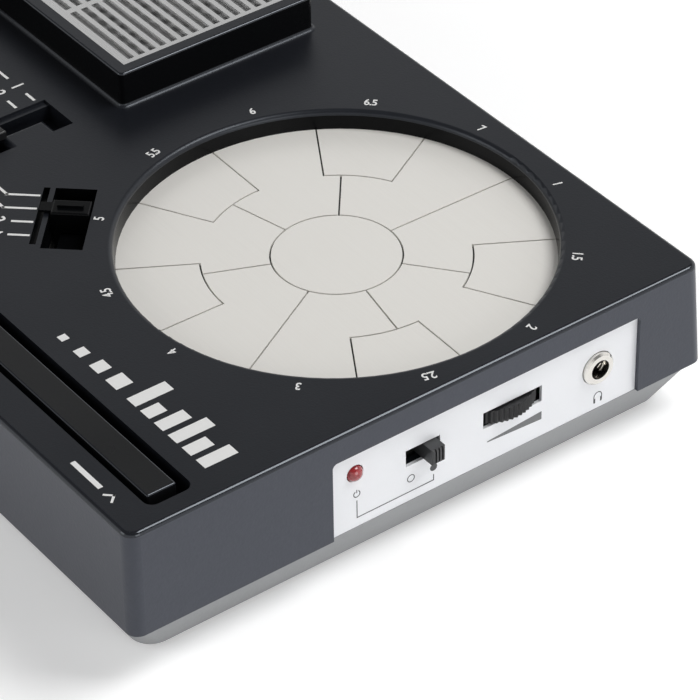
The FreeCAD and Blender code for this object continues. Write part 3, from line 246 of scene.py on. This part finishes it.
# Walls with painted light, faces with painted shade and handled edges of the casing
# The casing is one moulding. Its outer walls get a coarser grain and a lighter, bluer tone than the top, as
# painted light, and the dial's wall, the lower selector's recess and the speaker box's sides get a near-black
# tone with little shine, as painted shade.
# Hands have burnished its upper edges.

# Lighter and bluer than the top: painted light on the outer walls, which face the lamps and the pale table.
wall_painted_light = plastic("wall_painted_light", (0.042, 0.045, 0.058), (0.062, 0.066, 0.084), 0.32, 0.42, 0.45, 0.03,
                       0.42, cool_sheen)
# Near-black with little shine: painted shade on the dial's wall, in the lower selector's recess and on the
# speaker box's sides.
black_with_painted_shade = plastic("black_with_painted_shade", (0.002, 0.0022, 0.0026), (0.0035, 0.0038, 0.0045), 0.2, 0.28, 0.3,
                         0.004, 0.1)
burnished_edge = plastic("burnished_edge", (0.007, 0.0078, 0.0105), (0.012, 0.0132, 0.0175), 0.10, 0.16, 0.35,
                         0.004, 0.55, cool_sheen)
mode_corner = Vector((-41.1, -30.2)) * mm
mode_angle = math.radians(-42)
mode_axis = Vector((math.cos(mode_angle), math.sin(mode_angle)))


def is_polished(face):
    """Whether a face takes painted shade: on the dial's wall, in the lower selector's recess or on the
    speaker box's sides.
    """
    from_dial = (face.center - dial_centre).xy
    below_top = casing_top - face.center.z
    if below_top < -0.5 * mm:
        return abs(face.normal.z) < 0.3
    if below_top < 0.1 * mm or below_top > 6 * mm:
        return False
    on_dial_wall = 35.9 * mm < from_dial.length < 36.8 * mm and below_top > 1.0 * mm
    from_corner = from_dial - mode_corner
    along = from_corner.dot(mode_axis)
    across = mode_axis.cross(from_corner)
    in_recess = -0.1 * mm < along < 17 * mm and -0.1 * mm < across < 9.1 * mm
    return on_dial_wall or in_recess


def is_handled_edge(face):
    """The rounded edges along the casing's and the box's upper rims are burnished by hands."""
    margin = Vector((1.0, 1.0, 0)) * mm
    low = casing_low + margin
    high = casing_high - margin
    rear_lean = 1.75 * mm
    at_end = face.center.x < low.x or face.center.x > high.x
    at_side = face.center.y < low.y or face.center.y > high.y - rear_lean
    near_top = face.center.z > casing_top - 0.85 * mm
    on_casing = near_top and (at_end or at_side)
    on_box = face.center.z > casing_high.z - 0.45 * mm
    return (on_casing or on_box) and 0.1 < face.normal.z < 0.995


def is_outer_wall(face):
    """The four outer walls carry a coarser grain and a lighter, bluer tone than the top, as painted light."""
    margin = Vector((2.3, 2.3, 0)) * mm
    low = casing_low + margin
    high = casing_high - margin
    outside = not (low.x < face.center.x < high.x and low.y < face.center.y < high.y)
    return outside and abs(face.normal.z) < 0.3


casing_mesh = nodes["upper_casing"].data
casing_mesh.materials.append(black_with_painted_shade)
casing_mesh.materials.append(wall_painted_light)
casing_mesh.materials.append(burnished_edge)
# Burnished edges first, then painted shade in the well, the recess and on the box's sides, then painted light
# on the outer walls.
for face in casing_mesh.polygons:
    if is_handled_edge(face):
        face.material_index = 3
    elif is_polished(face):
        face.material_index = 1
    elif is_outer_wall(face):
        face.material_index = 2


# Screen printing
# All signs are white, grey or dark ink, pulled through a screen in one thin even layer.
# The ink is matt and a little broken at its edges.

def ink(name, colour, faded):
    """Screen ink: nearly flat, a little patchy where it is thin."""
    return plastic(name, colour, faded, 0.5, 0.65, 0.25, 0.004)


white_ink = ink("white_ink", (0.86, 0.86, 0.85), (0.78, 0.78, 0.77))
dark_ink = ink("dark_ink", (0.05, 0.052, 0.055), (0.1, 0.1, 0.105))
ink_thickness = 0.03 * mm


def plate_of_ink(shape, outline):
    """Adds one flat patch to a bmesh, from its corners in millimetres, as a thin raised layer."""
    corners = [shape.verts.new((x * mm, y * mm, 0)) for x, y in outline]
    patch = shape.faces.new(corners)
    patch.normal_update()
    if patch.normal.z < 0:
        patch.normal_flip()
    grown = bmesh.ops.extrude_face_region(shape, geom=[patch])
    top = [part for part in grown["geom"] if isinstance(part, bmesh.types.BMVert)]
    bmesh.ops.translate(shape, verts=top, vec=(0, 0, ink_thickness))


def bar(shape, start, end, width):
    """A printed line from one point to another."""
    run = (Vector(end) - Vector(start)).normalized() * width / 2
    side = Vector((-run.y, run.x))
    a = Vector(start) - run
    b = Vector(end) + run
    plate_of_ink(shape, [a - side, b - side, b + side, a + side])


def arc_line(shape, centre, inner, outer, start, step, pieces):
    """A printed curved line in short pieces, each turning through one step in degrees."""
    for piece in range(pieces):
        a = math.radians(start + step * piece)
        b = math.radians(start + step * (piece + 1))
        corners = [(inner, a), (outer, a), (outer, b), (inner, b)]
        plate_of_ink(shape, [(centre[0] + r * math.cos(t), centre[1] + r * math.sin(t)) for r, t in corners])


def dot(shape, centre, radius, sides):
    """A printed round spot."""
    turns = [2 * math.pi * side / sides for side in range(sides)]
    plate_of_ink(shape, [(centre[0] + radius * math.cos(a), centre[1] + radius * math.sin(a)) for a in turns])


def digits(shape, text, size, centre, turn):
    """Adds numerals, drawn upright and centred, then turned and moved."""
    curve = bpy.data.curves.new("numerals", "FONT")
    curve.body = text
    curve.offset = 0.017
    curve.space_character = 0.92
    curve.align_x = "CENTER"
    curve.align_y = "CENTER"
    curve.extrude = ink_thickness / 2 / (size * mm)
    written = bpy.data.objects.new("numerals", curve)
    bpy.context.scene.collection.objects.link(written)
    bpy.context.view_layer.update()
    mesh = bpy.data.meshes.new_from_object(written.evaluated_get(bpy.context.evaluated_depsgraph_get()))
    narrow = Matrix.Diagonal((0.86, 1.0, 1.0, 1.0))
    place = Matrix.Translation((centre[0] * mm, centre[1] * mm, ink_thickness / 2))
    mesh.transform(place @ Matrix.Rotation(turn, 4, "Z") @ Matrix.Scale(size * mm, 4) @ narrow)
    shape.from_mesh(mesh)
    bpy.data.objects.remove(written)
    bpy.data.curves.remove(curve)
    bpy.data.meshes.remove(mesh)


def print_on(name, shape, place, material, body):
    """Lays finished ink onto a face and lets it ride with what carries it."""
    bmesh.ops.transform(shape, matrix=place, verts=shape.verts)
    mesh = bpy.data.meshes.new(name)
    shape.to_mesh(mesh)
    shape.free()
    printed = bpy.data.objects.new(name, mesh)
    bpy.context.scene.collection.objects.link(printed)
    mesh.materials.append(material)
    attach(printed, body)
    return printed


on_top = Matrix.Translation((dial_centre.x, dial_centre.y, casing_top))


# Numbers round the dial
# Twelve plain numbers stand on a circle round the well, each with its foot towards the centre.
# Whole numbers belong to the full keys and halves to the short ones.

ring_shape = bmesh.new()
number_ring = 39.5
number_height = 2.45
for step, label in enumerate(("1", "1.5", "2", "2.5", "3", "4", "4.5", "5", "5.5", "6", "6.5", "7")):
    angle = math.radians(74.8 - 30 * step - (2 if step == 5 else 0))
    spot = (number_ring * math.cos(angle), number_ring * math.sin(angle))
    digits(ring_shape, label, number_height, spot, angle - math.pi / 2)
print_on("dial_numbers", ring_shape, on_top, white_ink, "casing")


# Selector marks
# Fine white lines lead from each position of the two sliders to a plain number.
# The lines of the lower selector turn away to the left, those of the upper one run straight.

marks = bmesh.new()
line_width = 0.5
selector_pitch = 3.75
for step in range(4):
    y = -17.4 - selector_pitch * step
    bar(marks, (-66.3, y), (-64.1, y), line_width)
    bar(marks, (-76.0, y), (-72.6, y), line_width)
    digits(marks, str(step + 1), 3.4, (-69.4, y), 0)
mode_side = Vector((-mode_axis.y, mode_axis.x))
mode_start = mode_corner / mm
for step, reach in enumerate((5.4, 5.4, 3.2, 3.2)):
    start = mode_start + mode_axis * (2.4 + selector_pitch * step) - mode_side * 0.5
    end = start - mode_side * reach
    bar(marks, start, end, line_width)
    if step < 2:
        bar(marks, end, end - Vector((16.0 - 1.5 * step, 0)), line_width)
        digits(marks, str(step + 1), 3.4, end - Vector((18.6 - 1.5 * step, 0)), 0)
    else:
        digits(marks, str(step + 1), 3.4, end - mode_side * 2.4, 0)
print_on("selector_marks", marks, on_top, white_ink, "casing")


# Decoration on the front of the top
# A plain row of bars of different heights, like the steps of a rhythm, with small squares before it.
# A short bar and an arrowhead point to the stylus.

rhythm = bmesh.new()
for step in range(4):
    side = 1.5 + 0.55 * step
    x = -5.5 + 4.6 * step
    plate_of_ink(rhythm, [(x, -51.0), (x + side, -51.0), (x + side, -51.0 + side), (x, -51.0 + side)])
for step, height in enumerate((7.2, 3.4, 5.4, 7.2, 4.4, 6.2)):
    x = 14.2 + 3.75 * step
    plate_of_ink(rhythm, [(x, -51.0), (x + 2.5, -51.0), (x + 2.5, -51.0 + height), (x, -51.0 + height)])
bar(rhythm, (22.4, -66.1), (29.2, -66.1), 0.9)
bar(rhythm, (31.3, -66.6), (32.35, -65.5), 0.4)
bar(rhythm, (32.35, -65.5), (33.4, -66.6), 0.4)
print_on("top_decoration", rhythm, on_top, white_ink, "casing")


# Stylus
# A flat black moulded bar with softly rounded edges and a turned nickel tip.
# It lies loose in its trough with its top level with the casing.

stylus_plastic = plastic("stylus_plastic", (0.006, 0.0065, 0.0072), (0.010, 0.0108, 0.012), 0.26, 0.34, 0.3,
                         0.012, 0.32)
wear(stylus_plastic, "stylus_body")
stylus_mesh = nodes["stylus_body"].data
stylus_mesh.materials.append(burnished_edge)
for face in stylus_mesh.polygons:
    if 0.1 < face.normal.z < 0.995 and face.center.z > casing_top - 0.4 * mm:
        face.material_index = 1
nickel = metal("nickel", (0.78, 0.76, 0.72), (0.62, 0.6, 0.56), 0.12, 0.22, 0.001)
wear(nickel, "stylus_tip", "jack_sleeve")


# Speaker
# A slotted grille of bright plated steel lies in the raised box over a pale woven screen.
# Behind it hangs a small paper cone in a black steel basket with a plated magnet.

grille_metal = metal("grille_metal", (0.80, 0.80, 0.80), (0.66, 0.66, 0.66), 0.22, 0.34)
wear(grille_metal, "speaker_grille")


def woven(name, thread, gap, pitch_mm, rough):
    """A plain weave of fine thread seen from above."""
    material = bpy.data.materials.new(name)
    material.use_nodes = True
    tree = material.node_tree.nodes
    link = material.node_tree.links.new
    shader = tree["Principled BSDF"]
    shader.inputs["Roughness"].default_value = rough
    place = tree.new("ShaderNodeTexCoord")
    threads = []
    for direction in ("X", "Y"):
        wave = tree.new("ShaderNodeTexWave")
        wave.bands_direction = direction
        wave.inputs["Scale"].default_value = 1000 / pitch_mm / 20
        wave.inputs["Distortion"].default_value = 0.6
        link(place.outputs["Object"], wave.inputs["Vector"])
        threads.append(wave)
    cloth = tree.new("ShaderNodeMath")
    cloth.operation = "MAXIMUM"
    link(threads[0].outputs["Fac"], cloth.inputs[0])
    link(threads[1].outputs["Fac"], cloth.inputs[1])
    tone = tree.new("ShaderNodeMix")
    tone.data_type = "RGBA"
    tone.inputs["A"].default_value = (*gap, 1)
    tone.inputs["B"].default_value = (*thread, 1)
    link(cloth.outputs[0], tone.inputs["Factor"])
    link(tone.outputs["Result"], shader.inputs["Base Color"])
    bump = tree.new("ShaderNodeBump")
    bump.inputs["Distance"].default_value = 0.08 * mm
    link(cloth.outputs[0], bump.inputs["Height"])
    link(bump.outputs[0], shader.inputs["Normal"])
    return material


screen_cloth = woven("screen_cloth", (0.42, 0.42, 0.42), (0.12, 0.12, 0.12), 0.5, 0.75)
wear(screen_cloth, "grille_cloth")
cone_paper = woven("cone_paper", (0.03, 0.03, 0.03), (0.015, 0.015, 0.015), 0.3, 0.85)
wear(cone_paper, "speaker_cone")
basket_paint = plastic("basket_paint", (0.02, 0.02, 0.02), (0.035, 0.035, 0.035), 0.3, 0.45, 0.6, 0.01)
wear(basket_paint, "speaker_frame")
plated_steel = metal("plated_steel", (0.58, 0.57, 0.54), (0.42, 0.42, 0.42), 0.25, 0.45)
wear(plated_steel, "speaker_magnet", "speaker_screws", "casing_screws", "board_screws")


# Slide selectors
# Small black caps run in open recesses, their levers reaching down into plated slide switches.
# The caps are polished by fingers, so they are smoother than the casing.

knob_plastic = plastic("knob_plastic", (0.008, 0.008, 0.009), (0.014, 0.014, 0.015), 0.28, 0.4, 0.3,
                       0.01, 0.4)
wear(knob_plastic, "sound_selector_knob")
# The mode knob is black plastic, darkened further by the near-black painted shade of its recess.
wear(black_with_painted_shade, "mode_selector_knob")
wear(plated_steel, "sound_selector_switch", "mode_selector_switch", "power_switch_body")


# Buttons and tempo knob
# Three round black caps press onto small switches, and a fluted knob sits on a brass spindle.
# Each cap has a general sign printed on it, and the knob has a white pointer line.

wear(knob_plastic, "record_button", "play_button", "clear_button", "tempo_knob")
brass = metal("brass", (0.72, 0.55, 0.27), (0.55, 0.4, 0.18), 0.25, 0.4)
wear(brass, "tempo_shaft")
signs = {"record_button": "dot", "play_button": "triangle", "clear_button": "square"}
for name, sign in signs.items():
    low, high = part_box(name)
    cap = bmesh.new()
    if sign == "dot":
        dot(cap, (0, 0), 1.5, 32)
    elif sign == "triangle":
        plate_of_ink(cap, [(-1.3, -1.6), (1.7, 0), (-1.3, 1.6)])
    else:
        plate_of_ink(cap, [(-1.4, -1.4), (1.4, -1.4), (1.4, 1.4), (-1.4, 1.4)])
    middle = (low + high) / 2
    place = Matrix.Translation((middle.x, middle.y, high.z))
    print_on(name + "_sign", cap, place, white_ink, name.replace("_button", ""))

knob_low, knob_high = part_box("tempo_knob")
knob_middle = (knob_low + knob_high) / 2
groove_depth = 0.3 * mm
pointer = bmesh.new()
bar(pointer, (0, 2.2), (0, 6.2), 0.6)
on_knob = Matrix.Translation((knob_middle.x, knob_middle.y, knob_high.z - groove_depth))
print_on("tempo_pointer", pointer, on_knob, white_ink, "tempo")
scale = bmesh.new()
for step in range(11):
    angle = math.radians(230 - 28 * step)
    inner = Vector((math.cos(angle), math.sin(angle))) * 10.2
    outer = Vector((math.cos(angle), math.sin(angle))) * (12.0 if step % 5 == 0 else 11.2)
    bar(scale, inner, outer, 0.4)
    if step % 5 == 0:
        digits(scale, str(step), 2.6, Vector((math.cos(angle), math.sin(angle))) * 14.0, 0)
round_knob = Matrix.Translation((knob_middle.x, knob_middle.y, casing_top))
print_on("tempo_scale", scale, round_knob, white_ink, "casing")


# End panel
# A plate of satin silver lacquer is let into the end, flush with the lower edge of the casing.
# It carries the lamp, the power switch, the volume wheel and the headphone socket, with signs in dark ink.
# Inside the socket a tilted leaf of plated spring metal shows.

panel_silver = metal("panel_silver", (0.90, 0.91, 0.935), (0.84, 0.85, 0.875), 0.42, 0.5, 0.001, 0.12)
wear(panel_silver, "end_panel")
panel_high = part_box("end_panel")[1]
lamp_y = -26.7
lamp_ring_z = -13.8
panel_signs = bmesh.new()
arc_line(panel_signs, (lamp_y, lamp_ring_z), 0.52, 0.68, 120, 10, 30)
bar(panel_signs, (lamp_y, lamp_ring_z + 0.25), (lamp_y, lamp_ring_z + 0.75), 0.14)
fine_line = 0.16
on_y = -11.6
off_y = -16.1
link_z = -18.6
bar(panel_signs, (lamp_y, -15.2), (lamp_y, link_z), fine_line)
bar(panel_signs, (lamp_y, link_z), (on_y, link_z), fine_line)
bar(panel_signs, (on_y, link_z), (on_y, -17.5), fine_line)
arc_line(panel_signs, (off_y, -16.0), 0.6, 0.75, 0, 9, 40)
dot(panel_signs, (on_y, -16.0), 0.7, 40)
phones = Vector((22.1, -18.0))
arc_line(panel_signs, phones, 0.72, 0.88, 0, 15, 12)
for side in (-1, 1):
    bar(panel_signs, phones + Vector((0.8 * side, 0)), phones + Vector((0.8 * side, -1.0)), fine_line)
    bar(panel_signs, phones + Vector((0.68 * side, -0.5)), phones + Vector((0.68 * side, -1.1)), 0.3)
on_panel = Matrix.Translation((panel_high.x, dial_centre.y, casing_top)) @ Matrix(
    ((0, 0, 1, 0), (1, 0, 0, 0), (0, 1, 0, 0), (0, 0, 0, 1)))
print_on("panel_signs", panel_signs, on_panel, dark_ink, "casing")

grey_ink = ink("grey_ink", (0.16, 0.165, 0.17), (0.22, 0.225, 0.23))
wedge = bmesh.new()
plate_of_ink(wedge, [(-0.8, -16.35), (10.3, -17.0), (10.3, -15.4), (-0.8, -16.15)])
print_on("volume_wedge", wedge, on_panel, grey_ink, "casing")

grey_plastic = plastic("grey_plastic", (0.028, 0.029, 0.031), (0.05, 0.051, 0.054), 0.35, 0.48, 0.3, 0.01)
wear(grey_plastic, "power_switch_knob")
wear(knob_plastic, "volume_wheel", "volume_control", "headphone_jack", "button_switches")

leaf_size = (2.6 * mm, 1.0 * mm, 0.25 * mm)
leaf_edge = 0.06 * mm
leaf_behind_face = 2.2 * mm
leaf_to_rear = 23.0 * mm
leaf_below_top = 12.75 * mm
leaf_tilt = math.radians(40)
contact_leaf = bmesh.new()
bmesh.ops.create_cube(contact_leaf, size=1.0)
bmesh.ops.scale(contact_leaf, verts=contact_leaf.verts, vec=leaf_size)
bmesh.ops.bevel(contact_leaf, geom=contact_leaf.edges[:], offset=leaf_edge, affect="EDGES", segments=2,
                profile=0.5, material=-1)
leaf_place = Matrix.Translation((panel_high.x - leaf_behind_face, dial_centre.y + leaf_to_rear,
                                 casing_top - leaf_below_top))
bmesh.ops.transform(contact_leaf, matrix=leaf_place @ Matrix.Rotation(leaf_tilt, 4, "X"),
                    verts=contact_leaf.verts)
leaf_mesh = bpy.data.meshes.new("jack_contact")
contact_leaf.to_mesh(leaf_mesh)
contact_leaf.free()
leaf = bpy.data.objects.new("jack_contact", leaf_mesh)
bpy.context.scene.collection.objects.link(leaf)
leaf_mesh.materials.append(nickel)
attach(leaf, "casing")


# Power lamp
# A dome of red-tinted clear resin, lit from inside by a tiny chip when the machine is on.
# Its skin is glossy and its colour deepens towards the rim.

lamp_resin = bpy.data.materials.new("lamp_resin")
lamp_resin.use_nodes = True
lamp_nodes = lamp_resin.node_tree.nodes
lamp_link = lamp_resin.node_tree.links.new
lamp_shader = lamp_nodes["Principled BSDF"]
lamp_shader.inputs["Coat Weight"].default_value = 1.0
lamp_shader.inputs["Coat Roughness"].default_value = 0.05
lamp_shader.inputs["Roughness"].default_value = 0.25
lamp_place = lamp_nodes.new("ShaderNodeTexCoord")
lamp_cloud = lamp_nodes.new("ShaderNodeTexNoise")
lamp_cloud.inputs["Scale"].default_value = 900.0
lamp_tone = lamp_nodes.new("ShaderNodeMix")
lamp_tone.data_type = "RGBA"
lamp_tone.inputs["A"].default_value = (0.20, 0.006, 0.01, 1)
lamp_tone.inputs["B"].default_value = (0.45, 0.02, 0.025, 1)
lamp_link(lamp_place.outputs["Object"], lamp_cloud.inputs["Vector"])
lamp_link(lamp_cloud.outputs["Fac"], lamp_tone.inputs["Factor"])
lamp_link(lamp_tone.outputs["Result"], lamp_shader.inputs["Base Color"])
wear(lamp_resin, "power_led")


# Boards and what sits on them
# Glass-fibre boards under dark solder lacquer, with copper tracks that show as faint raised lines.
# Chips are black epoxy, and the capacitors wear shrunk blue sleeves.

def lacquered_board(name, lacquer, track):
    """Solder lacquer over tracks that run along and across the board."""
    material = bpy.data.materials.new(name)
    material.use_nodes = True
    tree = material.node_tree.nodes
    link = material.node_tree.links.new
    shader = tree["Principled BSDF"]
    shader.inputs["Roughness"].default_value = 0.3
    place = tree.new("ShaderNodeTexCoord")
    tracks = tree.new("ShaderNodeTexBrick")
    tracks.inputs["Scale"].default_value = 160.0
    tracks.inputs["Mortar Size"].default_value = 0.06
    tracks.inputs["Color1"].default_value = (*lacquer, 1)
    tracks.inputs["Color2"].default_value = (*lacquer, 1)
    tracks.inputs["Mortar"].default_value = (*track, 1)
    bump = tree.new("ShaderNodeBump")
    bump.inputs["Distance"].default_value = 0.03 * mm
    link(place.outputs["Object"], tracks.inputs["Vector"])
    link(tracks.outputs["Color"], shader.inputs["Base Color"])
    link(tracks.outputs["Fac"], bump.inputs["Height"])
    link(bump.outputs[0], shader.inputs["Normal"])
    return material


green_board = lacquered_board("green_board", (0.01, 0.07, 0.03), (0.03, 0.16, 0.07))
wear(green_board, "side_board", "control_board")
black_board = lacquered_board("black_board", (0.004, 0.004, 0.004), (0.007, 0.007, 0.007))
wear(black_board, "pad_board")
chip_epoxy = plastic("chip_epoxy", (0.015, 0.015, 0.015), (0.03, 0.03, 0.03), 0.55, 0.7, 0.2, 0.01)
wear(chip_epoxy, "circuit_chips")
sleeve_blue = plastic("sleeve_blue", (0.02, 0.03, 0.1), (0.03, 0.045, 0.14), 0.15, 0.25, 1.0, 0.01)
wear(sleeve_blue, "capacitors")
wear(plated_steel, "tempo_control")


# Batteries
# Three round cells in dark shrunk sleeves lie between nickel-plated spring contacts.
# They are held in by the sliding door in the base.

cell_sleeve = plastic("cell_sleeve", (0.05, 0.052, 0.055), (0.08, 0.082, 0.086), 0.15, 0.25, 2.0, 0.01)
wear(cell_sleeve, "battery_cells")
contact_plate = metal("contact_plate", (0.68, 0.67, 0.64), (0.5, 0.49, 0.46), 0.18, 0.3)
wear(contact_plate, "battery_contacts", "battery_springs")


# Studio
# A pale table top runs on into a white surround that darkens overhead, like a room under a dim ceiling.
# A soft key lamp hangs high on the right, with weaker ones in front and off the right-hand end.
# The camera looks down at the right-hand end from the front.

floor_shape = bmesh.new()
bmesh.ops.create_grid(floor_shape, x_segments=2, y_segments=2, size=2.0)
floor_mesh = bpy.data.meshes.new("floor")
floor_shape.to_mesh(floor_mesh)
floor_shape.free()
floor = bpy.data.objects.new("floor", floor_mesh)
bpy.context.scene.collection.objects.link(floor)
table_top = bpy.data.materials.new("table_top")
table_top.use_nodes = True
table_nodes = table_top.node_tree.nodes
table_shader = table_nodes["Principled BSDF"]
table_shader.inputs["Roughness"].default_value = 0.8
table_shader.inputs["Specular IOR Level"].default_value = 0.2
table_place = table_nodes.new("ShaderNodeTexCoord")
table_cloud = table_nodes.new("ShaderNodeTexNoise")
table_cloud.inputs["Scale"].default_value = 6.0
table_tone = table_nodes.new("ShaderNodeMix")
table_tone.data_type = "RGBA"
table_tone.inputs["A"].default_value = (0.90, 0.90, 0.90, 1)
table_tone.inputs["B"].default_value = (0.93, 0.93, 0.93, 1)
table_top.node_tree.links.new(table_place.outputs["Object"], table_cloud.inputs["Vector"])
table_top.node_tree.links.new(table_cloud.outputs["Fac"], table_tone.inputs["Factor"])
table_top.node_tree.links.new(table_tone.outputs["Result"], table_shader.inputs["Base Color"])


def seen_directly(tree):
    """1 for rays from the camera, a mirror or glass, and 0 for those that only light things."""
    path = tree.nodes.new("ShaderNodeLightPath")
    mirror = tree.nodes.new("ShaderNodeMath")
    mirror.operation = "MAXIMUM"
    tree.links.new(path.outputs["Is Camera Ray"], mirror.inputs[0])
    tree.links.new(path.outputs["Is Glossy Ray"], mirror.inputs[1])
    every = tree.nodes.new("ShaderNodeMath")
    every.operation = "MAXIMUM"
    tree.links.new(mirror.outputs[0], every.inputs[0])
    tree.links.new(path.outputs["Is Transmission Ray"], every.inputs[1])
    return every.outputs[0]


table_lift = table_nodes.new("ShaderNodeMapRange")
table_lift.inputs["To Max"].default_value = 0.32
table_top.node_tree.links.new(seen_directly(table_top.node_tree), table_lift.inputs["Value"])
table_shader.inputs["Emission Color"].default_value = (1, 1, 1, 1)
table_top.node_tree.links.new(table_lift.outputs[0], table_shader.inputs["Emission Strength"])
floor_mesh.materials.append(table_top)

world = bpy.data.worlds.new("white_surround")
bpy.context.scene.world = world
world.use_nodes = True
world_nodes = world.node_tree.nodes
world_link = world.node_tree.links.new
surround = world_nodes["Background"]
surround.inputs["Color"].default_value = (1, 1, 1, 1)
level = world_nodes.new("ShaderNodeMapRange")
level.inputs["To Min"].default_value = 0.5
level.inputs["To Max"].default_value = 1.0
world_link(seen_directly(world.node_tree), level.inputs["Value"])
direction = world_nodes.new("ShaderNodeTexCoord")
upward = world_nodes.new("ShaderNodeSeparateXYZ")
world_link(direction.outputs["Generated"], upward.inputs[0])
ceiling = world_nodes.new("ShaderNodeMapRange")
ceiling.inputs["From Min"].default_value = 0.42
ceiling.inputs["From Max"].default_value = 0.63
ceiling.inputs["To Min"].default_value = 1.0
ceiling.inputs["To Max"].default_value = 0.22
world_link(upward.outputs["Z"], ceiling.inputs["Value"])
strength = world_nodes.new("ShaderNodeMath")
strength.operation = "MULTIPLY"
world_link(level.outputs[0], strength.inputs[0])
world_link(ceiling.outputs[0], strength.inputs[1])
world_link(strength.outputs[0], surround.inputs["Strength"])


def soft_lamp(name, place, aim, size, power):
    """A square soft box that faces a point on the machine."""
    light = bpy.data.lights.new(name, "AREA")
    light.size = size
    light.energy = power
    lamp = bpy.data.objects.new(name, light)
    bpy.context.scene.collection.objects.link(lamp)
    lamp.location = place
    lamp.rotation_euler = (Vector(aim) - Vector(place)).to_track_quat("-Z", "Y").to_euler()
    return lamp


soft_lamp("key_lamp", (0.33, 0.47, 0.88), (0, 0, 0.02), 0.5, 6.5)
soft_lamp("front_lamp", (-0.3, -0.9, 0.45), (0, 0, 0.02), 0.5, 1.5)
soft_lamp("end_lamp", (0.95, 0.05, 0.28), (0, 0, 0.02), 0.5, 1.8)

camera_data = bpy.data.cameras.new("camera")
camera_data.lens = 191.75
camera_data.sensor_width = 36.0
camera_data.clip_start = 0.02
camera = bpy.data.objects.new("camera", camera_data)
bpy.context.scene.collection.objects.link(camera)
camera.location = (0.44947, -0.27712, 0.38945)
camera.rotation_euler = Euler((math.radians(52.124), math.radians(0.654), math.radians(53.254)))
bpy.context.scene.camera = camera
bpy.context.scene.view_settings.view_transform = "Standard"
